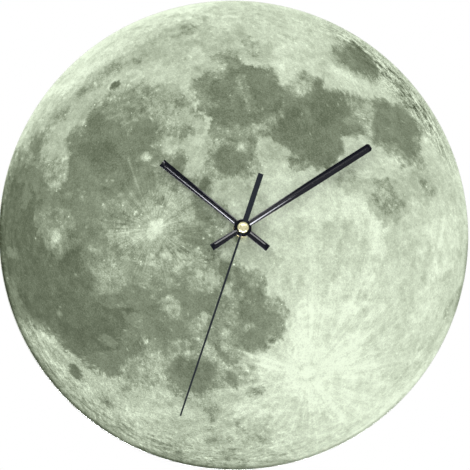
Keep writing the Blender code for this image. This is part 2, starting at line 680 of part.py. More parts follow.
def make_front_case():
    """The moulded case: a floor with posts and bearings, and the bay for the cell."""
    outer = rounded_box(-CASE_HALF, CASE_HALF, CASE_LOW, CASE_HIGH, CASE_CORNER)
    case = piece("front_case", flat_mesh("front_case", [outer], RIM, CASE_DEPTH), BLACK_PLASTIC)

    inner = rounded_box(-INNER_HALF, INNER_HALF, BAY_LOW, CHAMBER_HIGH, CASE_CORNER - CASE_WALL)
    combine(case, "DIFFERENCE", tool("case_cavity", flat_mesh("case_cavity", [inner], 0, FLOOR)))
    shaft_hole = closed_shapes("case_shaft_hole", drum(TUBE_HOLE, 0, CASE_DEPTH + OVERCUT))
    combine(case, "DIFFERENCE", tool("case_shaft_hole", shaft_hole))

    rooted = FLOOR + ROOT
    wall_half = INNER_HALF - STRIP_PASSAGE
    posts = [block(-wall_half, wall_half, BAY_HIGH, CHAMBER_LOW, RIM, rooted)]
    for axis in (THIRD_AXIS, FIFTH_AXIS, ROTOR_AXIS, SETTING_AXIS):
        posts.append(drum(BOSS_RADIUS, FLOOR - BOSS_HEIGHT, rooted, axis, SMALL_SIDES))
    middle_boss = layer(5) + PINION_WIDTH / 2 + RUN_GAP
    posts.append(drum(BOSS_RADIUS, middle_boss, rooted, MIDDLE_AXIS, SMALL_SIDES))
    bridge_seat = BRIDGE_FRONT + SEAT_GAP
    for axis in bridge_posts():
        posts.append(drum(POST_RADIUS, bridge_seat, rooted, axis, SMALL_SIDES))
    for axis in stator_posts():
        posts.append(drum(STATOR_POST_RADIUS, STATOR_FRONT + SEAT_GAP, rooted, axis, SMALL_SIDES))
    for side in (-1, 1):
        foot = (side * (INNER_HALF - BOARD_POST_INSET), BOARD_Y)
        posts.append(drum(BOSS_RADIUS, BOARD_FRONT + SEAT_GAP, rooted, foot, SMALL_SIDES))
    combine(case, "UNION", tool("case_posts", closed_shapes("case_posts", *posts)))

    middle_post = layer(4) - WHEEL_THICKNESS / 2 - MIDDLE_POST_END
    pegs = [drum(MIDDLE_POST_RADIUS, middle_post, rooted, MIDDLE_AXIS, SMALL_SIDES)]
    for axis in bridge_posts():
        pegs.append(drum(PEG_RADIUS, BRIDGE_FRONT - PEG_LENGTH, bridge_seat + ROOT, axis, SMALL_SIDES))
    combine(case, "UNION", tool("case_pegs", closed_shapes("case_pegs", *pegs)))

    sockets = []
    socket_rear = FLOOR - BOSS_HEIGHT - OVERCUT
    socket_front = FRONT_SHOULDER + PIVOT_LENGTH + RUN_GAP
    for axis in (THIRD_AXIS, FIFTH_AXIS, ROTOR_AXIS, SETTING_AXIS):
        sockets.append(drum(PIVOT_RADIUS + RUN_GAP, socket_rear, socket_front, axis, SMALL_SIDES))
    combine(case, "DIFFERENCE", tool("case_sockets", closed_shapes("case_sockets", *sockets)))


def make_back_cover():
    """The cover over the train, with a lip inside the case and a well for the knob."""
    outer = rounded_box(-CASE_HALF, CASE_HALF, BAY_HIGH, CASE_HIGH, CASE_CORNER)
    cover = piece("back_cover", flat_mesh("back_cover", [outer], 0, COVER_THICKNESS), BLACK_PLASTIC)
    half = INNER_HALF - SEAT_GAP
    low = CHAMBER_LOW + SEAT_GAP
    high = CHAMBER_HIGH - SEAT_GAP
    corner = CASE_CORNER - CASE_WALL
    lip_outer = rounded_box(-half, half, low, high, corner)
    lip_inner = rounded_box(-half + LIP_THICKNESS, half - LIP_THICKNESS, low + LIP_THICKNESS,
                            high - LIP_THICKNESS, corner - LIP_THICKNESS)
    rooted = COVER_THICKNESS - ROOT
    lip = flat_mesh("cover_lip", [lip_outer, lip_inner], rooted, COVER_THICKNESS + LIP_DEPTH)
    combine(cover, "UNION", tool("cover_lip", lip))
    well = drum(WELL_RADIUS + WELL_WALL, rooted, WELL_FRONT, sides=LARGE_SIDES)
    combine(cover, "UNION", tool("cover_well", closed_shapes("cover_well", well), SETTING_AXIS))
    bore = KNOB_STEM_RADIUS + RUN_GAP
    hollow = [(0, WELL_FRONT + OVERCUT), (bore, WELL_FRONT + OVERCUT), (bore, WELL_FLOOR),
              (WELL_RADIUS, WELL_FLOOR), (WELL_RADIUS, -OVERCUT), (0, -OVERCUT)]
    combine(cover, "DIFFERENCE", turned_tool("cover_hollow", hollow, SETTING_AXIS, LARGE_SIDES))


def make_train_bridge():
    """The plate that holds the rear pivots, on the pegs of the four posts."""
    posts = bridge_posts()
    right = max(x for x, y in posts) + BRIDGE_MARGIN + PEG_RADIUS
    low = min(y for x, y in posts) - BRIDGE_MARGIN
    high = max(y for x, y in posts) + BRIDGE_MARGIN
    outlines = [rounded_box(-right, right, low, high, BRIDGE_MARGIN)]
    for axis in (SHAFT, THIRD_AXIS, FIFTH_AXIS, ROTOR_AXIS):
        outlines.append(circle(PIVOT_RADIUS + RUN_GAP, SMALL_SIDES, axis))
    for axis in posts:
        outlines.append(circle(PEG_RADIUS + RUN_GAP, SMALL_SIDES, axis))
    mesh = flat_mesh("train_bridge", outlines, BRIDGE_REAR, BRIDGE_FRONT)
    bridge = piece("train_bridge", mesh, WHITE_PLASTIC)
    notch = closed_shapes("bridge_notch", drum(WELL_RADIUS + WELL_WALL + SPARE, 0, BRIDGE_FRONT + OVERCUT,
                                               sides=LARGE_SIDES))
    combine(bridge, "DIFFERENCE", tool("bridge_notch", notch, SETTING_AXIS))


def make_rotor():
    """The magnet, and the plastic pinion and arbor that run through it."""
    magnet = tube_profile(ROTOR_ARBOR_RADIUS + FIT_GAP, MAGNET_RADIUS, MAGNET_REAR, MAGNET_FRONT)
    turned("rotor_magnet", magnet, MAGNET, ROTOR_AXIS, ring=True)
    pinion = turned("rotor_pinion", arbor_profile(ROTOR_ARBOR_RADIUS), WHITE_PLASTIC, ROTOR_AXIS, SMALL_SIDES)
    phase = meshed(FIFTH_WHEEL_TEETH, 0, ROTOR_PINION_TEETH, ROTOR_DIRECTION)
    teeth = pinion_mesh("rotor_teeth", ROTOR_PINION_TEETH, FIFTH_MODULE, phase, 1)
    combine(pinion, "UNION", tool("rotor_teeth", teeth, ROTOR_AXIS))


def make_fifth_wheel():
    """The wheel that the rotor drives, with the pinion that drives the second wheel."""
    wheel = turned("fifth_wheel", arbor_profile(ARBOR_RADIUS), WHITE_PLASTIC, FIFTH_AXIS, SMALL_SIDES)
    teeth = wheel_mesh("fifth_wheel_teeth", FIFTH_WHEEL_TEETH, FIFTH_MODULE, 0, 1)
    combine(wheel, "UNION", tool("fifth_wheel_teeth", teeth, FIFTH_AXIS))
    phase = meshed(SECOND_WHEEL_TEETH, 0, FIFTH_PINION_TEETH, FIFTH_DIRECTION)
    teeth = pinion_mesh("fifth_pinion_teeth", FIFTH_PINION_TEETH, SECOND_MODULE, phase, 0)
    combine(wheel, "UNION", tool("fifth_pinion_teeth", teeth, FIFTH_AXIS))


def make_second_wheel():
    """The wheel that turns once a minute; its long pin carries the second hand."""
    wheel = turned("second_wheel", arbor_profile(PIN_RADIUS, PIN_FRONT, 0), WHITE_PLASTIC, SHAFT, SMALL_SIDES)
    teeth = wheel_mesh("second_wheel_teeth", SECOND_WHEEL_TEETH, SECOND_MODULE, 0, 0)
    combine(wheel, "UNION", tool("second_wheel_teeth", teeth))
    teeth = pinion_mesh("second_pinion_teeth", SECOND_PINION_TEETH, THIRD_MODULE, 0, 2)
    combine(wheel, "UNION", tool("second_pinion_teeth", teeth))


def make_third_wheel():
    """The wheel between the second wheel and the minute wheel."""
    wheel = turned("third_wheel", arbor_profile(ARBOR_RADIUS), WHITE_PLASTIC, THIRD_AXIS, SMALL_SIDES)
    phase = meshed(SECOND_PINION_TEETH, 0, THIRD_WHEEL_TEETH, THIRD_DIRECTION)
    teeth = wheel_mesh("third_wheel_teeth", THIRD_WHEEL_TEETH, THIRD_MODULE, phase, 2)
    combine(wheel, "UNION", tool("third_wheel_teeth", teeth, THIRD_AXIS))
    teeth = pinion_mesh("third_pinion_teeth", THIRD_PINION_TEETH, MINUTE_MODULE, 0, 3)
    combine(wheel, "UNION", tool("third_pinion_teeth", teeth, THIRD_AXIS))


def make_minute_wheel():
    """The wheel that turns once an hour, with its cannon pinion and the minute hand's pipe."""
    phase = meshed(THIRD_PINION_TEETH, 0, MINUTE_WHEEL_TEETH, THIRD_DIRECTION + 180)
    mesh = wheel_mesh("minute_wheel", MINUTE_WHEEL_TEETH, MINUTE_MODULE, phase, 3)
    wheel = piece("minute_wheel", mesh, WHITE_PLASTIC)
    rear = layer(3) - WHEEL_THICKNESS / 2 - RUN_GAP
    front = MINUTE_BUSH_FRONT - PIPE_SHORT
    pipe = closed_shapes("minute_pipe", drum(MINUTE_PIPE_RADIUS, rear, front))
    combine(wheel, "UNION", tool("minute_pipe", pipe))
    teeth = pinion_mesh("cannon_teeth", CANNON_PINION_TEETH, CANNON_MODULE, 0, 4)
    combine(wheel, "UNION", tool("cannon_teeth", teeth))
    bore = closed_shapes("minute_bore", drum(PIN_RADIUS + RUN_GAP, 0, front + OVERCUT))
    combine(wheel, "DIFFERENCE", tool("minute_bore", bore))


def make_intermediate_wheel():
    """The wheel on the case's own post, between the cannon pinion and the hour wheel."""
    phase = meshed(CANNON_PINION_TEETH, 0, MIDDLE_WHEEL_TEETH, MIDDLE_DIRECTION)
    mesh = wheel_mesh("intermediate_wheel", MIDDLE_WHEEL_TEETH, CANNON_MODULE, phase, 4)
    wheel = piece("intermediate_wheel", mesh, WHITE_PLASTIC, MIDDLE_AXIS)
    hub_radius = MIDDLE_POST_RADIUS + RUN_GAP + MIDDLE_HUB_WALL
    hub = closed_shapes("intermediate_hub", drum(hub_radius, layer(4), layer(5)))
    combine(wheel, "UNION", tool("intermediate_hub", hub, MIDDLE_AXIS))
    teeth = pinion_mesh("intermediate_pinion_teeth", MIDDLE_PINION_TEETH, HOUR_MODULE, 0, 5)
    combine(wheel, "UNION", tool("intermediate_pinion_teeth", teeth, MIDDLE_AXIS))
    bore = closed_shapes("intermediate_bore", drum(MIDDLE_POST_RADIUS + RUN_GAP, 0, CASE_DEPTH))
    combine(wheel, "DIFFERENCE", tool("intermediate_bore", bore, MIDDLE_AXIS))


def make_hour_wheel():
    """The wheel that turns twice a day, with the hour hand's pipe."""
    phase = meshed(MIDDLE_PINION_TEETH, 0, HOUR_WHEEL_TEETH, MIDDLE_DIRECTION + 180)
    mesh = wheel_mesh("hour_wheel", HOUR_WHEEL_TEETH, HOUR_MODULE, phase, 5)
    wheel = piece("hour_wheel", mesh, WHITE_PLASTIC)
    front = HOUR_BUSH_FRONT - PIPE_SHORT
    shoulder = FLANGE_REAR - RUN_GAP
    pipe = [(0, front), (HOUR_PIPE_RADIUS, front), (HOUR_PIPE_RADIUS, shoulder),
            (HOUR_SHOULDER_RADIUS, shoulder), (HOUR_SHOULDER_RADIUS, layer(5)), (0, layer(5))]
    combine(wheel, "UNION", turned_tool("hour_pipe", pipe))
    bore = closed_shapes("hour_bore", drum(MINUTE_PIPE_RADIUS + RUN_GAP, 0, front + OVERCUT))
    combine(wheel, "DIFFERENCE", tool("hour_bore", bore))


def make_setting_knob():
    """The knob in its well, its stem through the cover, and the pinion that sets the hands."""
    outline = []
    for step in range(2 * KNOB_RIDGES):
        radius = KNOB_RADIUS - (step % 2) * KNOB_RIDGE
        angle = math.pi * step / KNOB_RIDGES
        outline.append((radius * math.cos(angle), radius * math.sin(angle)))
    mesh = flat_mesh("setting_knob", [outline], KNOB_RECESS, KNOB_FRONT)
    knob = piece("setting_knob", mesh, BLACK_PLASTIC, SETTING_AXIS)
    pivot = FRONT_SHOULDER + PIVOT_LENGTH
    collar_rear = WELL_FRONT + RUN_GAP
    collar_front = collar_rear + KNOB_COLLAR_LENGTH
    stem = [(0, pivot), (PIVOT_RADIUS, pivot), (PIVOT_RADIUS, FRONT_SHOULDER),
            (KNOB_STEM_RADIUS, FRONT_SHOULDER), (KNOB_STEM_RADIUS, collar_front),
            (KNOB_COLLAR_RADIUS, collar_front), (KNOB_COLLAR_RADIUS, collar_rear),
            (KNOB_STEM_RADIUS, collar_rear), (KNOB_STEM_RADIUS, KNOB_FRONT - ROOT), (0, KNOB_FRONT - ROOT)]
    combine(knob, "UNION", turned_tool("knob_stem", stem, SETTING_AXIS, SMALL_SIDES))
    middle_phase = meshed(CANNON_PINION_TEETH, 0, MIDDLE_WHEEL_TEETH, MIDDLE_DIRECTION)
    phase = meshed(MIDDLE_WHEEL_TEETH, middle_phase, SETTING_PINION_TEETH, SETTING_DIRECTION)
    teeth = pinion_mesh("setting_teeth", SETTING_PINION_TEETH, CANNON_MODULE, phase, 4)
    combine(knob, "UNION", tool("setting_teeth", teeth, SETTING_AXIS))


def make_motor():
    """The stator plate, the core that bridges its arms, and the coil round the core."""
    x, y = ROTOR_AXIS
    rim = MAGNET_RADIUS + MAGNET_GAP + STATOR_RIM
    left = x - ARM_LEFT
    right = x + ARM_RIGHT
    half = ARM_WIDTH / 2
    top = COIL_Y + CORE_HEIGHT / 2 + STATOR_RIM
    outline = [(left - half, y - STATOR_RIM), (x - rim, y - rim), (x + rim, y - rim),
               (x + rim + STATOR_RIM, y), (right + half, y + 2 * rim - half), (right + half, top),
               (right - half, top), (right - half, y + 2 * rim), (x + rim, y + rim),
               (left + half, y + rim), (left + half, top), (left - half, top)]
    hole = circle(MAGNET_RADIUS + MAGNET_GAP, ROUND_SIDES, ROTOR_AXIS)
    piece("stator", flat_mesh("stator", [outline, hole], STATOR_REAR, STATOR_FRONT), SOFT_IRON)

    low = COIL_Y - CORE_HEIGHT / 2
    high = COIL_Y + CORE_HEIGHT / 2
    core = block(left - half, right + half, low, high, CORE_REAR, CORE_FRONT)
    piece("coil_core", closed_shapes("coil_core", core), SOFT_IRON)

    bobbin_left = left + half + BOBBIN_GAP
    bobbin_right = right - half - BOBBIN_GAP
    end = (bobbin_right - bobbin_left) / 2
    inside = end - BOBBIN_FLANGE
    spool = [(0, end), (BOBBIN_RADIUS, end), (BOBBIN_RADIUS, inside), (BARREL_RADIUS, inside),
             (BARREL_RADIUS, -inside), (BOBBIN_RADIUS, -inside), (BOBBIN_RADIUS, -end), (0, -end)]
    middle = Vector(((bobbin_left + bobbin_right) / 2, COIL_Y, COIL_Z))
    bobbin = turned("coil_bobbin", spool, WHITE_PLASTIC)
    lay_along_x(bobbin, middle)
    bore = closed_shapes("bobbin_bore", block(bobbin_left - OVERCUT, bobbin_right + OVERCUT, low - FIT_GAP,
                                              high + FIT_GAP, CORE_REAR - FIT_GAP, CORE_FRONT + FIT_GAP))
    combine(bobbin, "DIFFERENCE", tool("bobbin_bore", bore))
    wire = inside - FIT_GAP
    winding = tube_profile(BARREL_RADIUS + FIT_GAP, WINDING_RADIUS, -wire, wire)
    lay_along_x(turned("coil_winding", winding, COPPER, ring=True), middle)


def make_circuit_board():
    """The board in front of the coil, its chip under a blob of epoxy, and the quartz crystal."""
    half = INNER_HALF - SEAT_GAP - STRIP_THICKNESS / 2
    plate = block(-half, half, BOARD_LOW, BOARD_HIGH, BOARD_REAR, BOARD_FRONT)
    piece("circuit_board", closed_shapes("circuit_board", plate), BOARD)

    seat = BOARD_REAR - FIT_GAP
    blob = [(0, seat)]
    for across, along in quarter(SHAFT, 1.0, 0)[:-1]:
        blob.append((CHIP_RADIUS * across, seat - CHIP_HEIGHT * along))
    blob.append((0, seat - CHIP_HEIGHT))
    turned("chip", blob, EPOXY, (CHIP_X, BOARD_Y))

    can_z = seat - CRYSTAL_RADIUS
    end = CRYSTAL_LENGTH / 2
    can = closed_shapes("quartz_crystal", drum(CRYSTAL_RADIUS, -end, end, sides=SMALL_SIDES))
    crystal = piece("quartz_crystal", can, STEEL)
    can_x = CRYSTAL_INSET - INNER_HALF
    lay_along_x(crystal, Vector((can_x, BOARD_Y, can_z)))
    can_end = can_x + end
    half = LEAD_THICKNESS / 2
    leads = []
    feet = []
    for side in (-1, 1):
        y = BOARD_Y + side * LEAD_SPREAD
        tip = can_end + LEAD_LENGTH
        leads.append(block(can_end - ROOT, tip, y - half, y + half, can_z - half, can_z + half))
        feet.append(block(tip - LEAD_THICKNESS, tip, y - half, y + half, can_z, seat))
    combine(crystal, "UNION", tool("crystal_leads", closed_shapes("crystal_leads", *leads)))
    combine(crystal, "UNION", tool("crystal_feet", closed_shapes("crystal_feet", *feet)))


def make_contacts():
    """A plated strip at each end of the cell, bowed out to it and led up to the board."""
    wall = INNER_HALF - SEAT_GAP - STRIP_THICKNESS / 2
    touch = CELL_LENGTH / 2 + SEAT_GAP + STRIP_THICKNESS / 2
    front = BOARD_REAR - SEAT_GAP
    for name, side in (("contact_positive", 1), ("contact_negative", -1)):
        path = [(wall, CELL_Y - STRIP_BOW), (touch, CELL_Y - STRIP_TOUCH), (touch, CELL_Y + STRIP_TOUCH),
                (wall, CELL_Y + STRIP_BOW), (wall, BOARD_Y), (wall - STRIP_FOOT, BOARD_Y + STRIP_FOOT / 2)]
        outline = bent_strip([(side * x, y) for x, y in path], STRIP_THICKNESS)
        piece(name, flat_mesh(name, [outline], front - STRIP_WIDTH, front), SPRING)


def make_cell():
    """The cell: its steel can with the positive tip, and the sleeve shrunk round it."""
    outer = CELL_DIAMETER / 2
    inner = outer - SLEEVE_THICKNESS
    can = inner - FIT_GAP
    top = CELL_LENGTH / 2 - CELL_TIP_LENGTH
    end = CELL_LENGTH / 2
    base = -end + SLEEVE_THICKNESS + FIT_GAP
    middle = Vector((0, CELL_Y, CELL_Z))
    steel = [(0, end), (CELL_TIP_RADIUS, end), (CELL_TIP_RADIUS, top), (can - CELL_EDGE, top),
             (can, top - CELL_EDGE), (can, base + CELL_EDGE), (can - CELL_EDGE, base),
             (CELL_BASE_RADIUS, base), (CELL_BASE_RADIUS, -end), (0, -end)]
    lay_along_x(turned("cell_can", steel, STEEL), middle)
    sleeve_top = top + FIT_GAP + SLEEVE_THICKNESS
    lip = outer - CELL_EDGE - SLEEVE_LIP
    sleeve = [(outer - CELL_EDGE, sleeve_top), (outer, sleeve_top - CELL_EDGE), (outer, CELL_EDGE - end),
              (outer - CELL_EDGE, -end), (lip, -end), (lip, SLEEVE_THICKNESS - end),
              (inner - CELL_EDGE, SLEEVE_THICKNESS - end), (inner, SLEEVE_THICKNESS + CELL_EDGE - end),
              (inner, top + FIT_GAP - CELL_EDGE), (inner - CELL_EDGE, top + FIT_GAP), (lip, top + FIT_GAP),
              (lip, sleeve_top)]
    lay_along_x(turned("cell_sleeve", sleeve, SLEEVE, ring=True), middle)


def make_threaded_tube():
    """The tube that the movement is clamped by, with its flange inside the case."""
    bore = HOUR_PIPE_RADIUS + RUN_GAP
    section = [(TUBE_RADIUS - TUBE_CHAMFER, TUBE_FRONT), (TUBE_RADIUS, TUBE_FRONT - TUBE_CHAMFER),
               (TUBE_RADIUS, FLANGE_FRONT), (FLANGE_RADIUS, FLANGE_FRONT), (FLANGE_RADIUS, FLANGE_REAR),
               (bore, FLANGE_REAR), (bore, TUBE_FRONT)]
    turned("threaded_tube", section, BRASS, sides=LARGE_SIDES, ring=True)


def make_hanger():
    """The bent steel strap behind the dial, with a keyhole for the nail above the case."""
    middle = (HANGER_REAR + HANGER_FRONT) / 2
    shelf = CASE_HIGH + SEAT_GAP + HANGER_THICKNESS / 2
    path = [(-HANGER_BELOW, middle), (shelf, middle), (shelf, HANGER_DEPTH),
            (CASE_HIGH + HANGER_ABOVE, HANGER_DEPTH)]
    side = HANGER_WIDTH / 2
    side_view = flat_mesh("hanger", [bent_strip(path, HANGER_THICKNESS)], -side, side)
    side_view.transform(ALONG_X)
    hanger = piece("hanger", side_view, STEEL)
    nail_y = CASE_HIGH + HANGER_ABOVE - NAIL_HOLE_DROP
    slot_half = NAIL_SLOT_WIDTH / 2
    rear = HANGER_DEPTH - HANGER_THICKNESS - OVERCUT
    front = HANGER_DEPTH + HANGER_THICKNESS + OVERCUT
    holes = closed_shapes("hanger_holes", drum(NAIL_HOLE_RADIUS, rear, front, (0, nail_y)),
                          drum(TUBE_HOLE, CASE_DEPTH, DIAL_REAR, sides=LARGE_SIDES))
    combine(hanger, "DIFFERENCE", tool("hanger_holes", holes))
    top = (0, nail_y + NAIL_SLOT_RISE)
    slot = ([(-slot_half, nail_y), (slot_half, nail_y)]
            + quarter(top, slot_half, 0)[:-1] + quarter(top, slot_half, 90))
    combine(hanger, "DIFFERENCE", tool("hanger_slot", flat_mesh("hanger_slot", [slot], rear, front)))


def make_dial():
    """The acrylic disc, and the luminous print on its face."""
    centre = (DIAL_SHIFT_X, DIAL_SHIFT_Y)
    hole = circle(TUBE_HOLE, LARGE_SIDES)
    disc_outlines = [circle(DIAL_DIAMETER / 2, DIAL_SIDES, centre), hole]
    disc = piece("dial_disc", flat_mesh("dial_disc", disc_outlines, DIAL_REAR, DIAL_FRONT), ACRYLIC)
    edge = disc.modifiers.new("chamfer", "BEVEL")
    edge.width = DIAL_CHAMFER
    edge.segments = 1
    edge.limit_method = "ANGLE"
    edge.angle_limit = math.radians(60)
    film_outlines = [circle(DIAL_DIAMETER / 2 - FILM_BORDER, DIAL_SIDES, centre), hole]
    piece("dial_film", flat_mesh("dial_film", film_outlines, FILM_REAR, FILM_FRONT), PRINT)


def make_clamp():
    """What the tube clamps the dial with: a rubber washer behind, a flat washer and nut in front."""
    turned("rubber_washer", tube_profile(TUBE_HOLE, RUBBER_RADIUS, RUBBER_REAR, RUBBER_FRONT), RUBBER,
           sides=LARGE_SIDES, ring=True)
    turned("flat_washer", tube_profile(TUBE_HOLE, WASHER_RADIUS, WASHER_REAR, WASHER_FRONT), BRASS,
           sides=LARGE_SIDES, ring=True)
    flat = NUT_ACROSS_FLATS / 2
    corner = flat / math.cos(math.radians(30))
    blank = closed_shapes("hex_nut", drum(corner, NUT_REAR, NUT_FRONT, sides=NUT_SIDES))
    nut = piece("hex_nut", blank, BRASS)
    clear = corner + NUT_CHAMFER
    chamfer = [(0, NUT_FRONT + OVERCUT), (flat, NUT_FRONT + OVERCUT), (flat, NUT_FRONT),
               (clear, NUT_FRONT - NUT_CHAMFER), (clear, NUT_REAR - OVERCUT), (0, NUT_REAR - OVERCUT)]
    combine(nut, "INTERSECT", turned_tool("nut_chamfer", chamfer, sides=LARGE_SIDES))
    bore = closed_shapes("nut_bore", drum(TUBE_RADIUS + FIT_GAP, WASHER_REAR, TUBE_FRONT, sides=LARGE_SIDES))
    combine(nut, "DIFFERENCE", tool("nut_bore", bore))


def hand_outline(hub, blade, tail):
    """Outline of a hand that points along +Y, round its hub.

    Blade and tail are lists of half widths and distances from the axis; the first half
    width of each is where it leaves the hub.
    """
    steps = 6
    blade_start = math.acos(blade[0][0] / hub)
    tail_start = math.acos(tail[0][0] / hub)
    right = [(half, -distance) for half, distance in reversed(tail[1:])]
    for step in range(steps + 1):
        angle = -tail_start + (blade_start + tail_start) * step / steps
        right.append((hub * math.cos(angle), hub * math.sin(angle)))
    right += [(half, distance) for half, distance in blade[1:]]
    return right + [(-x, y) for x, y in reversed(right)]


def make_ribbed_hand(name, rear, pipe, blade, tail, rib_width, turn):
    """A pressed hand: a flat blade with a rib that narrows to the tip, on a bush round its pipe."""
    barrel = pipe + FIT_GAP + BUSH_WALL
    flange = pipe + FIT_GAP + BUSH_FLANGE_WALL
    front = rear + HAND_THICKNESS
    outlines = [hand_outline(HUB_RADIUS, blade, tail), circle(barrel + FIT_GAP, ROUND_SIDES)]
    hand = piece(name, flat_mesh(name, outlines, rear, front), HAND_LACQUER, turn=turn)
    base = front - RIB_SINK
    start = flange + RIB_START
    tip = blade[-1][1] - RIB_END
    end = tail[-1][1] - RIB_END
    tall = front + RIB_HEIGHT
    ribs = closed_shapes(name + "_ribs",
                         bar(start, tip, rib_width, RIB_TIP_WIDTH, base, tall, front + RIB_TIP_HEIGHT),
                         bar(-end, -start, rib_width, rib_width, base, tall, tall))
    combine(hand, "UNION", tool(name + "_ribs", ribs, turn=turn))
    seat = front + FIT_GAP
    top = seat + BUSH_FLANGE_THICKNESS
    foot = rear - BUSH_TAIL
    bush = [(flange, top), (flange, seat), (barrel, seat), (barrel, foot), (pipe + FIT_GAP, foot),
            (pipe + FIT_GAP, top)]
    turned(name + "_bush", bush, HAND_LACQUER, ring=True)


def make_hands():
    """The hour and minute hands, and the second hand under its brass cap."""
    hour_blade = [(HOUR_ROOT_WIDTH / 2, 0), (HOUR_TIP_WIDTH / 2, HOUR_LENGTH)]
    hour_tail = [(HOUR_TAIL_WIDTH / 2, 0), (HOUR_TAIL_WIDTH / 2, HOUR_TAIL)]
    make_ribbed_hand("hour_hand", HOUR_HAND_REAR, HOUR_PIPE_RADIUS, hour_blade, hour_tail,
                     HOUR_RIB_WIDTH, HOUR_ANGLE)
    full = MINUTE_TIP_WIDTH / 2
    minute_blade = [(MINUTE_ROOT_WIDTH / 2, 0), (full, MINUTE_SWELL), (full, MINUTE_LENGTH - MINUTE_CHAMFER),
                    (full - MINUTE_CHAMFER, MINUTE_LENGTH)]
    minute_tail = [(MINUTE_ROOT_WIDTH / 2, 0), (MINUTE_TAIL_WIDTH / 2, MINUTE_TAIL)]
    make_ribbed_hand("minute_hand", MINUTE_HAND_REAR, MINUTE_PIPE_RADIUS, minute_blade, minute_tail,
                     MINUTE_RIB_WIDTH, MINUTE_ANGLE)

    needle = [(SECOND_ROOT_WIDTH / 2, 0), (SECOND_TIP_WIDTH / 2, SECOND_LENGTH)]
    counterweight = [(SECOND_TAIL_WIDTH / 2, 0), (SECOND_TAIL_WIDTH / 2, SECOND_TAIL)]
    outlines = [hand_outline(SECOND_HUB_RADIUS, needle, counterweight),
                circle(CAP_BARREL_RADIUS + FIT_GAP, SMALL_SIDES)]
    second_front = SECOND_HAND_REAR + SECOND_THICKNESS
    piece("second_hand", flat_mesh("second_hand", outlines, SECOND_HAND_REAR, second_front), SECOND_LACQUER,
          turn=SECOND_ANGLE)

    bore = PIN_RADIUS + FIT_GAP
    barrel_end = SECOND_HAND_REAR - CAP_TAIL
    edge = quarter((CAP_RADIUS - CAP_EDGE, CAP_FRONT - CAP_EDGE), CAP_EDGE, 0)
    section = [(0, CAP_FRONT)] + edge[::-1]
    section += [(CAP_RADIUS, CAP_REAR), (CAP_BARREL_RADIUS, CAP_REAR), (CAP_BARREL_RADIUS, barrel_end),
                (bore, barrel_end), (bore, PIN_FRONT + FIT_GAP), (0, PIN_FRONT + FIT_GAP)]
    turned("second_hand_cap", section, BRASS, sides=LARGE_SIDES)


make_front_case()
make_back_cover()
make_train_bridge()
make_rotor()
make_fifth_wheel()
make_second_wheel()
make_third_wheel()
make_minute_wheel()
make_intermediate_wheel()
make_hour_wheel()
make_setting_knob()
make_motor()
make_circuit_board()
make_contacts()
make_cell()
make_threaded_tube()
make_hanger()
make_dial()
make_clamp()
make_hands()
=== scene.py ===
# %% [markdown]
# # A moon wall clock
# The clock is a milk-white acrylic disc, 300 mm across, with a print of the full Moon on its face.
# A quartz movement hangs behind the disc. Its threaded tube comes through a hole near the middle,
# and a washer and a nut clamp everything together. Three black hands sit on the tube.
# The solids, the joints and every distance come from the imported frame, which is loaded first.
# Each finished surface in this lesson is laid over those solids and rides on the same moving body.

import bpy
import numpy as np
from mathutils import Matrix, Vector


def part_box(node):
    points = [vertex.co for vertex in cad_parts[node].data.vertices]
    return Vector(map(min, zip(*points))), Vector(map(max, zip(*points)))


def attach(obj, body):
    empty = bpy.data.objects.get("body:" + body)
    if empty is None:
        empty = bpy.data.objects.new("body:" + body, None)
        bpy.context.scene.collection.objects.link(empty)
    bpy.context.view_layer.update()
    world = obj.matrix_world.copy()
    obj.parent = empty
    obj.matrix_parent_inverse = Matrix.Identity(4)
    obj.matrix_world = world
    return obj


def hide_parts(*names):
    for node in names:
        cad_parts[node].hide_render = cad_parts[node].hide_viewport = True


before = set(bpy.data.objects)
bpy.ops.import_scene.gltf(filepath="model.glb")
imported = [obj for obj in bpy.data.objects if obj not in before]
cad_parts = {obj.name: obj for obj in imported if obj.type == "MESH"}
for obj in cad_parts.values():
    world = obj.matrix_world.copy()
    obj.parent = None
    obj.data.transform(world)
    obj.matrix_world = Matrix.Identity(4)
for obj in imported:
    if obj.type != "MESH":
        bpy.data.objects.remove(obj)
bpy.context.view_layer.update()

# %% [markdown]
# ## Working on a bench
# A clock is easiest to measure as if it lay on a bench: right, up, and out from the wall, in
# millimetres. The frame uses metres, with the wall at y = 0 and the clock in front of it towards
# -Y. One function turns the first kind of point into the second, so the numbers below stay small.

# %% From the bench to the wall
MM = 0.001
DISC_MIDDLE = np.array((-4.8, -3.7))      # the disc's middle, seen from the shaft


def hung(points):
    """Right, up and out in millimetres become x, -y and z of the frame in metres."""
    points = np.asarray(points, float) * MM
    return np.stack((points[..., 0], -points[..., 2], points[..., 1]), -1)


def depth(node):
    """How far a solid's back and front stand out from the wall, in millimetres."""
    low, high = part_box(node)
    return -high[1] / MM, -low[1] / MM


print("film:", depth("dial_film"), "cap:", depth("second_hand_cap"))

# %% [markdown]
# ## Surfaces as grids
# Most pieces here are grids of points: rows along one direction and columns along the other. Blender
# wants a list of corners and, for each face, the numbers of its corners. Both come straight from
# arrays, which is fast and leaves no chance of a hole. A solid has a volume, and the sign of that
# volume tells whether its faces look outwards, so one check keeps every piece the right way round.

# %% Faces of a grid
def grid_faces(rows, columns, close_rows=False):
    """Corner numbers of the quads between neighbours. The columns go all the way round."""
    row, column = np.meshgrid(np.arange(rows - (not close_rows)), np.arange(columns), indexing="ij")
    below, beside = (row + 1) % rows, (column + 1) % columns
    corners = (row * columns + column, row * columns + beside,
               below * columns + beside, below * columns + column)
    return np.stack(corners, -1).reshape(-1, 4)


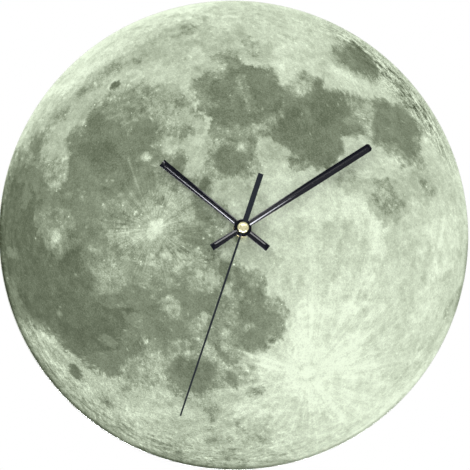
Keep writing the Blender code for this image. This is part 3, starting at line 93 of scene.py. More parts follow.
def end_faces(rows, columns):
    """The two many-sided faces that shut the first and the last row."""
    first = np.arange(columns)[::-1]
    last = np.arange(columns) + (rows - 1) * columns
    return np.stack((first, last))


# %% A mesh from arrays
def volume(points, faces):
    """Signed volume: the sum over all triangles of the product of their three corners."""
    total = 0.0
    for group in faces:
        for corner in range(1, group.shape[1] - 1):
            a, b, c = points[group[:, 0]], points[group[:, corner]], points[group[:, corner + 1]]
            total += np.einsum("ij,ij->", a, np.cross(b, c))
    return total / 6


def solid(name, points, faces, crease=50.0):
    """A closed mesh object with smooth shading, except across edges sharper than the crease."""
    points = hung(points).reshape(-1, 3)
    faces = [np.asarray(group) for group in faces]
    if volume(points, faces) < 0:
        faces = [group[:, ::-1] for group in faces]
    corners = np.concatenate([group.ravel() for group in faces])
    sizes = np.concatenate([np.full(len(group), group.shape[1]) for group in faces])
    mesh = bpy.data.meshes.new(name)
    mesh.vertices.add(len(points))
    mesh.vertices.foreach_set("co", points.ravel())
    mesh.loops.add(len(corners))
    mesh.loops.foreach_set("vertex_index", corners)
    mesh.polygons.add(len(sizes))
    mesh.polygons.foreach_set("loop_start", np.cumsum(sizes) - sizes)
    mesh.update(calc_edges=True)
    mesh.polygons.foreach_set("use_smooth", np.ones(len(sizes), bool))
    mesh.set_sharp_from_angle(angle=np.radians(crease))
    made = bpy.data.objects.new(name, mesh)
    bpy.context.scene.collection.objects.link(made)
    return made


# %% Several grids in one piece
def joined(*shells):
    """Points and faces of several closed shells, renumbered so that they can share one mesh."""
    points, faces, count = [], [], 0
    for shell_points, shell_faces in shells:
        flat = np.asarray(shell_points, float).reshape(-1, 3)
        points.append(flat)
        faces += [np.asarray(group) + count for group in shell_faces]
        count += len(flat)
    return np.concatenate(points), faces


def dress(piece, finish, body, slot, *nodes):
    """Gives a piece its finish and the body that carries it, and hides the solids that it stands for."""
    piece.data.materials.append(finish)
    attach(piece, body)
    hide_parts(*nodes)
    print(f"{piece.name}: {len(piece.data.polygons)} faces on {body}")


# %% [markdown]
# ## A lathe
# Washers, bushes, the cap and the cell are all turned: an outline is carried round an axis. Real
# turned edges are never knife sharp, so each corner of the outline is first replaced by a short
# curve. It catches a line of light, which is what makes a small metal part look made and not drawn.

# %% Soften an outline
def eased(outline, radius, steps=3, closed=True):
    """Each corner becomes a curve that leaves one side and joins the next, within a given radius."""
    outline = np.asarray(outline, float)
    before, after = np.roll(outline, 1, 0) - outline, np.roll(outline, -1, 0) - outline
    reach = [np.minimum(radius / np.maximum(np.linalg.norm(side, axis=1), 1e-9), 0.45)[:, None] * side
             for side in (before, after)]
    t = np.linspace(0, 1, steps + 1)[None, :, None]
    start, end = outline + reach[0], outline + reach[1]
    curve = (1 - t) ** 2 * start[:, None] + 2 * t * (1 - t) * outline[:, None] + t ** 2 * end[:, None]
    if not closed:
        curve[0], curve[-1] = outline[0], outline[-1]
    return curve.reshape(-1, 2)


# %% Carry it round
def lathe(outline, sides, closed=True):
    """Radius and height at each row, carried round the axis at each column."""
    outline = np.asarray(outline, float)
    angle = np.arange(sides) * 2 * np.pi / sides
    right, up = outline[:, :1] * np.sin(angle), outline[:, :1] * np.cos(angle)
    out = np.repeat(outline[:, 1:], sides, 1)
    faces = [grid_faces(len(outline), sides, close_rows=closed)]
    if not closed:
        faces.append(end_faces(len(outline), sides))
    return np.stack((right, up, out), -1), faces


def ring_outline(inner, outer, back, front):
    """The section of a flat ring: two radii and two heights."""
    return [(inner, back), (outer, back), (outer, front), (inner, front)]


# %% [markdown]
# ## Finishes as sums
# A material in Blender is a net of nodes. Sums are easier to read than nets, so one small class
# holds a node's output, and the signs +, -, * and / on it add the Math nodes. Colours don't go
# through Math nodes, because those turn a colour grey: they are blended by a Mix node.

# %% One output of a node
class Value:
    """A number that varies over a surface. Arithmetic on it adds Math nodes to its finish."""

    def __init__(self, finish, socket):
        self.finish, self.socket = finish, socket

    def math(self, operation, *terms):
        return self.finish.node("ShaderNodeMath", {"operation": operation}, dict(enumerate(terms)))

    def __add__(self, other):
        return self.math("ADD", self, other)

    def __sub__(self, other):
        return self.math("SUBTRACT", self, other)

    def __rsub__(self, other):
        return self.math("SUBTRACT", other, self)

    def __mul__(self, other):
        return self.math("MULTIPLY", self, other)

    def __truediv__(self, other):
        return self.math("DIVIDE", self, other)

    def __pow__(self, other):
        return self.math("POWER", self, other)

    def size(self):
        return self.math("ABSOLUTE", self)

    def over(self, least):
        return self.math("MAXIMUM", self, least)

    def under(self, most):
        return self.math("MINIMUM", self, most)

    __radd__, __rmul__ = __add__, __mul__


# %% A finish and its nodes
class Finish:
    """A material that is written as a few lines of arithmetic."""

    def __init__(self, name):
        self.material = bpy.data.materials.new(name)
        self.material.use_nodes = True
        self.tree = self.material.node_tree
        self.shader = self.tree.nodes["Principled BSDF"]

    def node(self, kind, settings=None, inputs=None, output=0):
        """Any node: its settings are made first, then its sockets get numbers or links."""
        made = self.tree.nodes.new(kind)
        for name, setting in (settings or {}).items():
            setattr(made, name, setting)
        for name, value in (inputs or {}).items():
            self.feed(made.inputs[name], value)
        return Value(self, made.outputs[output])

    def feed(self, socket, value):
        if isinstance(value, Value):
            self.tree.links.new(value.socket, socket)
        else:
            socket.default_value = value

    def place(self):
        """Where each point lies on the piece, in metres."""
        return self.node("ShaderNodeTexCoord", output="Object")

    def split(self, where):
        """The three numbers of a place, one Value each."""
        parts = self.node("ShaderNodeSeparateXYZ", None, {"Vector": where})
        return [Value(self, socket) for socket in parts.socket.node.outputs]

    def vector(self, operation, *terms, output=0, **more):
        """Arithmetic on whole places and directions."""
        inputs = {**dict(enumerate(terms)), **more}
        return self.node("ShaderNodeVectorMath", {"operation": operation}, inputs, output)

    def grain(self, scale, detail=2.0, where=None, rough=0.5):
        """Cloudy noise from 0 to 1, with this many bumps to the unit of its coordinates."""
        return self.node("ShaderNodeTexNoise", None, {
            "Vector": where or self.place(), "Scale": scale, "Detail": detail, "Roughness": rough})

    def between(self, low, high, value):
        """0 below the low value, 1 above the high one, and an S-curve between."""
        return self.node("ShaderNodeMapRange", {"interpolation_type": "SMOOTHSTEP"},
                         {"Value": value, "From Min": low, "From Max": high})

    def mix(self, share, first, second):
        """A blend of two colours."""
        inputs = {0: share, 6: self.colour(first), 7: self.colour(second)}
        return self.node("ShaderNodeMix", {"data_type": "RGBA"}, inputs, output=2)

    def colour(self, value):
        return value if isinstance(value, Value) else (*value, 1.0)

    def bump(self, height, metres, strength=1.0):
        """Small relief: a height from 0 to 1 stands for this many metres."""
        return self.node("ShaderNodeBump", None, {
            "Height": height, "Distance": metres, "Strength": strength})

    def surface(self, **values):
        """Sets the shader's sockets, by their names with underlines for spaces."""
        for name, value in values.items():
            socket = self.shader.inputs[name.replace("_", " ")]
            self.feed(socket, self.colour(value) if socket.type == "RGBA" else value)
        return self.material


# %% Colours as the eye names them
def screen(red, green, blue):
    """A colour as a screen shows it, from 0 to 255, turned into the light that it stands for."""
    value = np.array((red, green, blue), float) / 255
    light = np.where(value <= 0.04045, value / 12.92, ((value + 0.055) / 1.055) ** 2.4)
    return tuple(float(v) for v in light)


print("mid grey is", [round(v, 3) for v in screen(128, 128, 128)])

# %% [markdown]
# ## The acrylic disc
# The dial is cut from 3 mm milk-white sheet and its edge is polished. Acrylic lets light in a little
# way before it comes back, which subsurface scattering imitates. The disc is turned on the lathe
# about its own middle, but the hole is round the shaft, 6 mm away: the middle of each row slides
# from one to the other as the radius grows.

# %% White acrylic
def white_acrylic():
    """Milky, with a faint haze in its colour and fine scuffs in its gloss."""
    finish = Finish("white_acrylic")
    haze, scuffs = finish.grain(60, 3), finish.grain(2200, 2)
    return finish.surface(
        Base_Color=finish.mix(haze, screen(236, 240, 230), screen(226, 232, 220)),
        Roughness=0.16 + 0.1 * scuffs, Subsurface_Weight=0.35, Subsurface_Scale=0.002,
        Subsurface_Radius=(1.0, 1.0, 0.9))


# %% Disc with an eccentric hole
def disc_with_hole(outline, sides, rim, hole):
    """A turned outline whose middle slides from the shaft at the hole to the disc's own at the rim."""
    points, faces = lathe(outline, sides)
    share = (np.asarray(outline)[:, 0] - hole) / (rim - hole)
    points[..., :2] += (share[:, None] * DISC_MIDDLE)[:, None, :]
    return points, faces


HOLE, RIM = 4.2, 150.0                    # radii of the hole for the tube and of the disc
outline = eased(ring_outline(HOLE, RIM, *depth("dial_disc")), radius=0.35, steps=4)
disc = solid("acrylic_disc", *disc_with_hole(outline, sides=360, rim=RIM, hole=HOLE))
dress(disc, white_acrylic(), "clock_body", "white_acrylic", "dial_disc")

# %% [markdown]
# ## The film that carries the print
# The print is a round film with a hole for the tube. A picture drawn by its points needs them evenly
# spread, and rings of equal size would crowd them at the hole. So the film starts as a square
# lattice with a square block left out of its middle. Each square ring of the lattice becomes a
# circle: the inmost one is the hole, round the shaft, and the outmost one is the rim, round the
# middle of the disc.

# %% Square rings become circles
RINGS_IN_HOLE, RINGS = 5, 155
FILM_RIM = 149.6


def lattice_to_disc(i, j):
    """The ring is the larger of both counts. Along a ring the angle grows in equal steps."""
    ring = np.maximum(abs(i), abs(j))
    upright = abs(j) >= abs(i)
    eighth = np.where(upright, i / np.where(upright, j, 1), j / np.where(upright, 1, i)) * np.pi / 4
    start = np.where(upright, np.where(j > 0, 0.0, np.pi), np.where(i > 0, np.pi / 2, -np.pi / 2))
    angle = start + np.where(upright, eighth, -eighth)
    share = (ring - RINGS_IN_HOLE) / (RINGS - RINGS_IN_HOLE)
    radius = HOLE + share * (FILM_RIM - HOLE)
    middle = share[..., None] * DISC_MIDDLE
    return middle + radius[..., None] * np.stack((np.sin(angle), np.cos(angle)), -1)


# %% The film as one closed mesh
def film(back, front):
    """Front cells, a wall at the rim and one at the hole, and a back of few large faces."""
    side = np.arange(-RINGS, RINGS + 1)
    i, j = np.meshgrid(side, side, indexing="ij")
    ring = np.maximum(abs(i), abs(j))
    kept = ring >= RINGS_IN_HOLE
    number = np.full(ring.shape, -1)
    number[kept] = np.arange(kept.sum())
    flat = lattice_to_disc(i[kept], j[kept])
    corners = number[:-1, :-1], number[:-1, 1:], number[1:, 1:], number[1:, :-1]
    cells = np.stack(corners, -1).reshape(-1, 4)
    hollow = (abs(i + 0.5) < RINGS_IN_HOLE) & (abs(j + 0.5) < RINGS_IN_HOLE)
    cells = cells[~hollow[:-1, :-1].ravel()]

    def round_ring(count):
        """Numbers of one ring's points, in order round it."""
        on_ring = kept & (ring == count)
        turn = np.arctan2(*(flat[number[on_ring]] - DISC_MIDDLE * (count > RINGS_IN_HOLE)).T)
        return number[on_ring][np.argsort(turn)]

    rim, hole = round_ring(RINGS), round_ring(RINGS_IN_HOLE)
    count = len(flat)
    rim_back = count + np.arange(len(rim))
    hole_back = count + len(rim) + np.arange(len(hole))
    walls = [np.stack((a, np.roll(a, -1), np.roll(b, -1), b), -1)
             for a, b in ((rim, rim_back), (hole_back, hole))]
    fan = len(rim) // len(hole)
    spread = (np.arange(len(hole))[:, None] * fan + np.arange(fan + 1)) % len(rim)
    backs = np.concatenate((rim_back[spread], np.roll(hole_back, -1)[:, None], hole_back[:, None]), 1)
    flat = np.concatenate((flat, flat[rim], flat[hole]))
    out = np.concatenate((np.full(count, front), np.full(len(rim) + len(hole), back)))
    return np.column_stack((flat, out)), [cells, *walls, backs]


# %% [markdown]
# ## Noise on a ball
# The Moon is a ball, and a picture of it is a flat disc. Every point of the disc is lifted on the
# ball that it shows, and all patterns are worked out there, so they foreshorten by themselves
# towards the edge. The basic pattern is noise: a random number for each cell of a cubic lattice,
# blended smoothly between cells. Halving the cells and adding again gives coasts and clouds.

# %% Lattice numbers
MOON_RADIUS = 150.0


def scrambled(key):
    """A number from -1 to 1 for each whole number, by shifting and multiplying its 32 bits."""
    for shift, factor in ((15, 2246822519), (13, 3266489917)):
        key = (key ^ (key >> np.uint32(shift))) * np.uint32(factor)
    return (key ^ (key >> np.uint32(16))) / 2147483647.5 - 1.0


def step(low, high, value):
    """0 below the low value, 1 above the high one, and an S-curve between."""
    share = np.clip((value - low) / (high - low), 0, 1)
    return share * share * (3 - 2 * share)


# %% Smooth noise and fractal noise
AXIS_KEYS = 73856093, 19349663, 83492791


def noise(points, size, seed):
    """The eight corner numbers of a cell, each weighted by how near the point is to it."""
    spot = (points / size).T
    cell = np.floor(spot)
    near = step(0, 1, spot - cell)
    keys = [[(count + side).astype(np.int64).astype(np.uint32) * np.uint32(factor) for side in (0, 1)]
            for count, factor in zip(cell, AXIS_KEYS)]
    shares = [(1 - share, share) for share in near]
    start = np.uint32(seed * 2654435761 % 4294967296)
    total = np.zeros(len(points))
    for a, b, c in np.ndindex(2, 2, 2):
        weight = shares[0][a] * shares[1][b] * shares[2][c]
        total += weight * scrambled(keys[0][a] + keys[1][b] + keys[2][c] + start)
    return total


def fractal(points, size, octaves, seed, rough):
    """Noise of halving sizes, each weaker than the one before by the factor rough."""
    weights = rough ** np.arange(octaves)
    total = sum(weight * noise(points + 7.31 * number, size / 2 ** number, seed + number)
                for number, weight in enumerate(weights))
    return total / weights.sum() * 1.6


# %% [markdown]
# ## A map of the near side
# The face of the Moon is the same for everybody: dark plains of old lava, called seas, in bright
# broken highlands. The print shows it tilted, as it stands in the sky at moonrise. The map is drawn
# like any vector drawing, on a sheet 470 units wide. It is painted from back to front, as one paints
# with poster colour: each shape is an outline of a few corners with a tone and a soft edge. Every
# point's distance to that edge is worked out, and noise moves the edge to and fro.

# %% The sheet and the ball
SHEET_MIDDLE, SHEET_RADIUS = np.array((234.1, 234.3)), 235.5


def on_disc(spots):
    """Places on the sheet, as shares of the radius right and up from its middle."""
    return (np.asarray(spots, float) - SHEET_MIDDLE) / SHEET_RADIUS * (1, -1)


def on_ball(flat):
    """The third coordinate that puts a point of the disc on the ball: the root of 1 - x2 - y2."""
    height = np.sqrt(np.clip(1 - (flat ** 2).sum(-1), 1e-6, 1))
    lifted = np.concatenate((flat, height[..., None]), -1)
    return lifted / np.linalg.norm(lifted, axis=-1, keepdims=True)


# %% Distance to a coast
def inside_by(flat, corners):
    """Distance to the nearest side of an outline, positive inside it, in units of the sheet."""
    start = on_disc(corners)
    end = np.roll(start, -1, 0)
    nearest = np.full(len(flat), 1e9)
    crossings = np.zeros(len(flat), bool)
    for (ax, ay), (bx, by) in zip(start, end):
        x, y = flat[:, 0] - ax, flat[:, 1] - ay
        dx, dy = bx - ax, by - ay
        share = np.clip((x * dx + y * dy) / (dx * dx + dy * dy), 0, 1)
        nearest = np.minimum(nearest, np.hypot(x - share * dx, y - share * dy))
        crossings ^= ((ay > flat[:, 1]) != (by > flat[:, 1])) & (x < dx * y / (dy or 1e-9))
    return np.where(crossings, nearest, -nearest) * SHEET_RADIUS


# %% Shapes from back to front: tone, softness of the edge, and the corners, x then y
PAINT = (
    # bright south and east
    (0.92, 8, (255,360, 285,346, 300,312, 330,300, 362,300, 358,325, 368,350, 375,376, 402,380, 425,360,
        448,350, 440,400, 400,440, 352,432, 326,425, 300,400, 285,382, 262,368)),
    (0.91, 4, (314,186, 326,184, 336,196, 352,193, 370,205, 386,222, 384,255, 373,256, 375,236, 346,222,
        330,214)),
    (0.93, 6, (254,226, 252,214, 262,196, 264,178, 290,172, 318,176, 332,188, 346,198, 372,208, 386,216,
        386,232, 366,236, 350,224, 330,224, 318,228, 300,216, 280,224, 262,230)),
    (0.96, 9, (40,100, 70,56, 102,30, 136,10, 172,-4, 214,-10, 216,8, 180,18, 150,32, 120,50, 98,68,
        72,100)),
    (0.92, 3, (286,18, 300,16, 310,24, 308,36, 294,36, 286,30)),
    (0.76, 3, (360,40, 372,44, 384,58, 392,68, 386,72, 374,60, 362,50)),
    (0.80, 3, (424,150, 432,152, 440,170, 434,176, 426,164)),
    (0.91, 3, (365,262, 374,260, 375,284, 365,298, 361,290)),
    (0.91, 3, (325,282, 342,272, 342,296, 326,298)),
    (0.92, 4, (424,226, 444,214, 462,214, 463,236, 452,260, 441,276, 434,268, 441,250, 431,240)),
    (0.91, 3, (437,282, 439,292, 430,312, 420,326, 402,340, 412,322, 404,316, 420,292)),
    (0.91, 2, (284,46, 286,38, 296,40, 306,40, 306,48, 291,49)),
    (0.91, 2, (274,61, 286,58, 297,57, 290,66, 281,65)),
    (0.93, 2, (325,69, 334,65, 346,70, 357,79, 356,83, 346,79, 338,73)),
    (0.92, 2, (269,177, 278,178, 282,187, 274,184)),
    (0.92, 2, (424,131, 430,136, 430,143, 425,140)),
    (0.92, 2, (372,160, 379,163, 377,167)),
    (0.74, 3, (388,70, 397,70, 408,84, 421,96, 433,112, 437,126, 430,133, 420,130, 416,110, 404,98, 394,97,
        398,84)),
    (0.57, 2, (395,76, 402,77, 407,87, 402,89, 396,83)),
    (0.70, 3, (448,320, 450,305, 460,284, 464,284, 458,312)),
    # lower left and bottom
    (0.72, 4, (-10,300, 60,348, 110,370, 165,360, 215,345, 240,352, 254,360, 260,375, 251,394, 236,404,
        235,418, 262,418, 283,430, 283,440, 264,448, 284,457, 304,459, 240,484, 60,444, -12,330)),
    (0.82, 3, (124,409, 140,402, 160,404, 176,403, 192,408, 196,415, 180,420, 162,418, 152,425, 136,425,
        126,419)),
    (0.61, 3, (10,304, 26,322, 38,322, 32,345, 46,362, 62,372, 70,386, 82,396, 100,400, 112,400, 105,416,
        121,426, 137,433, 160,440, 192,443, 178,449, 204,456, 232,450, 246,457, 252,470, 180,476, 60,430,
        0,330)),
    (0.60, 2, (202,408, 216,405, 224,412, 219,418, 211,424, 208,414)),
    (0.60, 2, (237,424, 247,431, 254,438, 245,442, 240,436)),
    (0.60, 2, (257,434, 270,436, 274,442, 262,444)),
    (0.60, 2, (204,435, 216,433, 223,438, 218,445, 208,444)),
    (0.46, 2, (210,438, 216,437, 218,442, 211,442)),
    (0.61, 2, (225,437, 231,436, 233,441, 227,442)),
    (0.60, 2, (78,379, 87,380, 88,387, 80,385)),
    (0.61, 3, (120,380, 133,384, 132,394, 122,390)),
    (0.60, 2, (100,390, 108,392, 112,406, 104,404)),
    (0.62, 2, (240,392, 252,388, 270,386, 262,394, 246,398)),
    # north west
    (0.73, 3, (12,164, 28,132, 60,100, 90,76, 130,48, 168,26, 204,17, 214,35, 240,25, 262,42, 270,44,
        266,62, 250,60, 226,66, 200,78, 192,106, 180,116, 150,110, 100,110, 88,122, 70,134, 66,160, 42,160,
        26,152)),
    (0.83, 3, (124,68, 145,65, 168,62, 184,58, 196,45, 207,62, 192,74, 190,93, 178,86, 160,80, 132,81)),
    (0.59, 2, (74,95, 80,88, 94,77, 110,66, 121,59, 125,62, 116,71, 105,79, 98,88, 90,92, 82,97)),
    (0.60, 2, (170,36, 184,24, 199,22, 201,26, 192,35, 184,38)),
    (0.62, 2, (132,59, 140,58, 140,64, 134,65)),
    (0.58, 3, (206,56, 214,50, 228,47, 238,51, 246,60, 236,62, 225,63, 212,60)),
    (0.60, 2, (240,38, 250,36, 258,43, 259,52, 246,53)),
    (0.80, 1.5, (107,87, 110,78, 119,76, 124,83, 119,91, 110,92)),
    (0.33, 0.8, (109,88, 110.5,84.5, 114,82, 117.5,81.5, 119,83.5, 117,87, 113.5,89.5, 110,89.8)),
    # round the western plains
    (0.60, 3, (-14,150, 13,152, 22,146, 26,151, 34,140, 42,132, 47,122, 54,112, 62,107, 68,107, 66,114,
        57,122, 50,130, 51,141, 45,150, 42,158, 46,161, 64,161, 66,150, 64,142, 66,134, 74,126, 84,124,
        88,116, 90,106, 96,98, 104,96, 112,93, 120,90, 130,85, 142,84, 154,88, 166,92, 180,96, 191,104,
        198,112, 206,116, 213,136, 218,142, 254,140, 258,160, 262,172, 244,180, 222,180, 214,190, 218,206,
        234,212, 238,240, 241,262, 250,272, 258,267, 265,276, 267,293, 282,303, 289,317, 285,331, 279,342,
        266,351, 250,358, 242,357, 252,366, 257,377, 250,387, 236,392, 222,392, 216,385, 212,395, 200,400,
        186,399, 172,392, 163,379, 160,368, 167,358, 156,346, 146,342, 140,352, 147,358, 140,366, 134,379,
        120,377, 100,371, 80,363, 70,356, 60,346, 50,334, 38,326, 24,324, -14,300)),
    (0.49, 2, (12,172, 17,151, 28,155, 33,146, 41,133, 46,136, 44,144, 40,152, 42,166, 36,174)),
    (0.50, 1, (49,119, 57,114, 57,119, 52,122)),
    (0.42, 1.2, (32,151, 37,142, 42,140, 41,148, 37,157, 33,156)),
    (0.49, 2, (96,100, 104,98, 112,102, 118,95, 124,89, 134,92, 142,98, 144,108, 154,113, 165,118, 159,124,
        157,141, 140,152, 108,152, 80,142, 65,139, 72,128, 82,128, 88,118, 94,110)),
    (0.49, 2.5, (4,180, 40,165, 47,180, 52,190, 62,185, 69,158, 120,146, 156,148, 168,153, 180,150, 189,156,
        187,167, 177,177, 161,190, 151,202, 141,210, 126,208, 118,216, 114,226, 108,240, 112,256, 128,258,
        134,262, 150,267, 176,271, 187,265, 210,259, 233,262, 232,300, 216,340, 182,342, 140,342, 20,318,
        8,304, -2,262, -8,220)),
    (0.47, 2.5, (176,226, 190,222, 196,212, 189,203, 200,199, 215,211, 217,226, 208,234, 216,244, 204,251,
        190,250, 178,241)),
    (0.48, 2.5, (216,262, 232,261, 241,271, 252,273, 259,271, 263,286, 264,302, 277,308, 283,320, 277,332,
        267,342, 252,351, 236,349, 214,341, 208,300)),
    (0.46, 2, (214,348, 224,351, 242,357, 237,366, 222,362)),
    (0.46, 2, (226,369, 237,373, 241,387, 230,389, 223,380)),
    (0.46, 2.5, (20,314, 44,326, 58,340, 69,352, 83,358, 100,368, 110,375, 119,374, 117,361, 128,365,
        131,376, 139,379, 137,370, 129,359, 141,351, 150,340, 192,341, 186,300)),
    (0.40, 2, (66,140, 72,135, 82,136, 90,118, 96,113, 104,119, 120,123, 128,134, 135,127, 138,117, 146,118,
        157,123, 155,134, 151,148, 142,152, 139,159, 152,161, 155,176, 152,189, 140,186, 133,183, 136,194,
        148,192, 139,200, 110,201, 101,206, 97,217, 76,224, 70,213, 56,209, 44,215, 32,222, 36,240, 48,252,
        60,255, 74,243, 88,250, 90,270, 97,284, 91,290, 110,300, 118,307, 140,299, 150,287, 160,290,
        165,300, 167,313, 158,322, 150,318, 141,330, 152,337, 190,329, 197,336, 190,343, 141,340, 132,353,
        112,373, 96,363, 80,357, 66,350, 58,338, 44,324, 20,311, 8,290, 1,250, 2,220, 6,190, 14,172, 36,164,
        42,173, 44,184, 50,191, 62,187, 69,178, 68,160, 72,152, 66,147)),
    (0.41, 2, (72,222, 84,219, 98,205, 102,214, 98,222, 106,226, 107,248, 98,250, 86,244, 74,236)),
    (0.40, 1.5, (110,246, 120,243, 121,263, 112,257)),
    (0.41, 2, (124,278, 132,275, 140,284, 150,283, 161,289, 176,288, 180,276, 174,272, 183,279, 187,292,
        206,293, 217,291, 217,302, 211,317, 200,311, 190,323, 180,318, 178,296, 168,292, 165,304, 165,318,
        153,320, 150,300, 140,302, 128,296)),
    (0.40, 1.5, (170,160, 178,154, 184,157, 181,166, 174,169)),
    (0.42, 1.5, (150,157, 170,157, 168,162, 156,163)),
    (0.34, 2, (200,179, 207,177, 211,183, 206,191, 199,189)),
    (0.37, 2, (194,213, 204,211, 214,219, 213,229, 203,224)),
    (0.42, 2, (178,230, 190,226, 193,234, 185,242, 178,237)),
    (0.42, 2, (184,240, 200,239, 208,244, 196,248)),
    (0.40, 2, (234,269, 240,267, 244,288, 252,291, 261,290, 265,306, 275,314, 275,322, 263,331, 259,344,
        246,347, 239,336, 256,327, 254,320, 238,320, 233,312, 246,308, 258,304, 256,299, 246,298, 239,294,
        234,284)),
    (0.36, 1.5, (221,262, 230,264, 228,281, 221,276)),
    (0.40, 1.5, (217,349, 224,352, 232,358, 226,360, 218,355)),
    (0.40, 1.5, (227,371, 233,379, 237,382, 232,385, 226,377)),
    (0.48, 2.5, (160,370, 166,361, 176,355, 192,350, 207,360, 217,368, 217,380, 207,388, 200,395, 184,393,
        172,387, 163,380)),
    (0.40, 2, (164,370, 170,361, 178,357, 190,357, 198,361, 207,364, 215,370, 215,378, 206,384, 204,391,
        190,393, 180,389, 168,383)),
    (0.34, 2, (89,121, 96,119, 101,124, 98,131, 92,136, 88,134)),
    (0.33, 2.5, (76,148, 80,142, 88,138, 100,139, 112,145, 121,152, 118,159, 110,162, 104,171, 94,175,
        90,168, 94,158, 86,157, 78,153)),
    (0.29, 3, (8,190, 14,179, 22,188, 22,200, 24,211, 30,196, 30,187, 35,192, 39,204, 35,222, 37,238,
        46,251, 52,257, 60,257, 70,250, 76,249, 83,262, 83,272, 74,278, 85,273, 91,284, 93,293, 106,300,
        118,309, 130,299, 143,302, 145,314, 136,322, 140,330, 151,338, 139,351, 125,354, 125,363, 114,360,
        113,371, 106,367, 96,361, 80,355, 66,346, 60,337, 52,329, 42,319, 28,309, 18,298, 9,282, 3,260,
        1,230, 4,205)),
    (0.34, 2, (150,322, 158,321, 166,331, 176,325, 186,331, 192,341, 178,339, 160,339, 151,331)),
    (0.47, 2, (130,352, 138,340, 150,335, 162,340, 172,350, 166,364, 150,370, 136,366)),
    (0.56, 3, (116,362, 128,357, 138,354, 145,346, 152,344, 160,345, 168,348, 174,356, 166,372, 162,384,
        146,390, 132,388, 118,380)),
    (0.46, 2, (148,342, 160,338, 176,340, 196,338, 200,348, 192,354, 178,354, 168,358, 158,350)),
    (0.66, 2, (149,352, 160,350, 165,362, 159,378, 150,382)),
    (0.47, 2.5, (120,361, 132,357, 140,362, 141,378, 132,383, 122,376)),
    (0.38, 2, (94,352, 118,348, 132,345, 140,338, 146,328, 153,330, 152,341, 146,348, 137,355, 128,361,
        123,375, 110,380, 97,375, 84,360)),
    (0.34, 2.5, (168,373, 172,365, 182,358, 190,360, 198,361, 197,372, 190,381, 178,381, 171,377)),
    (0.36, 1.5, (122,167, 126,164, 133,174, 131,178, 125,173)),
    (0.37, 1.5, (94,188, 100,189, 111,196, 108,198, 98,194)),
    # the north eastern plains
    (0.60, 3, (194,78, 204,72, 222,69, 230,60, 238,53, 248,66, 264,66, 276,74, 282,84, 296,82, 300,76,
        304,72, 314,76, 322,75, 326,83, 334,88, 352,90, 362,92, 380,99, 400,98, 410,94, 416,104, 419,116,
        421,130, 420,148, 426,160, 431,174, 434,190, 428,196, 421,186, 422,166, 404,167, 398,158, 384,150,
        372,136, 366,131, 358,135, 346,138, 345,152, 336,162, 316,170, 302,166, 288,154, 272,142, 262,140,
        250,146, 230,136, 214,134, 208,118, 194,110, 198,104, 192,94)),
    (0.48, 2, (196,80, 202,74, 221,72, 230,64, 232,56, 240,56, 245,66, 262,68, 272,72, 278,82, 287,92,
        300,94, 311,91, 300,110, 280,116, 270,116, 250,126, 232,135, 218,132, 210,118, 195,110, 200,104,
        194,94)),
    (0.405, 2, (236,70, 244,65, 262,68, 270,72, 274,80, 286,90, 291,96, 285,104, 281,112, 272,114, 262,120,
        250,124, 236,126, 228,131, 218,128, 212,118, 205,109, 216,108, 218,102, 206,98, 201,92, 210,86,
        220,82, 228,73)),
    (0.485, 1.3, (236,75, 242,76, 248,90, 250,100, 257,110, 251,115, 244,104, 240,92)),
    (0.47, 1.5, (227,87, 232,88, 236,97, 232,99, 227,94)),
    (0.35, 1.5, (221,112, 229,111, 231,119, 224,116)),
    (0.35, 1.5, (220,121, 227,121, 230,127, 223,125)),
    (0.48, 2, (284,92, 300,94, 310,90, 312,82, 318,78, 324,82, 332,90, 350,92, 348,100, 352,108, 359,110,
        363,122, 363,131, 350,134, 342,137, 343,150, 337,160, 316,167, 303,162, 290,151, 276,141, 269,136,
        274,124, 280,112)),
    (0.41, 2, (286,94, 300,96, 312,92, 314,82, 320,82, 330,90, 346,91, 346,100, 351,112, 345,120, 350,124,
        359,121, 361,129, 350,132, 341,134, 342,149, 334,158, 316,163, 300,157, 284,144, 273,138, 274,130,
        280,118, 284,108)),
    (0.355, 2.5, (278,118, 284,110, 296,106, 304,100, 311,101, 324,91, 333,92, 337,98, 335,106, 343,111,
        333,117, 328,125, 321,130, 330,135, 322,142, 317,155, 304,157, 306,148, 300,140, 290,149, 282,139,
        277,128)),
    (0.39, 1.5, (301,103, 312,107, 313,122, 304,127, 299,119)),
    (0.38, 1.5, (299,135, 308,132, 312,142, 304,151, 296,147)),
    (0.34, 1.5, (272,111, 276,104, 281,97, 282,107)),
    (0.47, 1.5, (280,111, 286,113, 285,118, 280,116)),
    (0.49, 2, (372,100, 382,97, 393,101, 400,100, 408,104, 411,112, 420,115, 422,128, 417,135, 420,142,
        418,153, 415,161, 408,161, 402,157, 395,151, 388,147, 381,143, 375,136, 371,128, 372,118)),
    (0.41, 1.5, (375,102, 382,100, 393,104, 399,103, 405,107, 408,115, 416,119, 417,128, 412,134, 413,143,
        414,153, 409,157, 402,152, 396,146, 388,142, 382,139, 377,133, 374,122, 376,112)),
    (0.49, 3, (216,133, 224,127, 240,127, 252,131, 257,140, 255,152, 251,166, 240,173, 226,177, 212,173,
        207,162, 212,150, 224,146)),
    (0.40, 2, (213,158, 222,151, 232,149, 242,153, 249,160, 245,168, 236,174, 220,175, 211,167)),
    (0.41, 1, (227,138, 233,138, 232,142)),
    (0.41, 1, (246,138, 253,138, 252,143)),
    (0.72, 2, (331,56, 333,44, 341,37, 352,36, 367,43, 377,55, 383,68, 381,79, 372,81, 356,75, 341,65)),
    (0.56, 1.5, (335,53, 336,44, 344,40, 354,39, 364,46, 374,58, 379,67, 379,75, 371,78, 358,72, 345,63)),
    (0.43, 1.5, (340,53, 344,45, 354,43, 363,46, 373,58, 378,67, 377,74, 370,75, 357,69, 346,61)),
    (0.39, 2, (350,51, 358,46, 367,51, 374,61, 375,69, 371,72, 364,67, 356,61)),
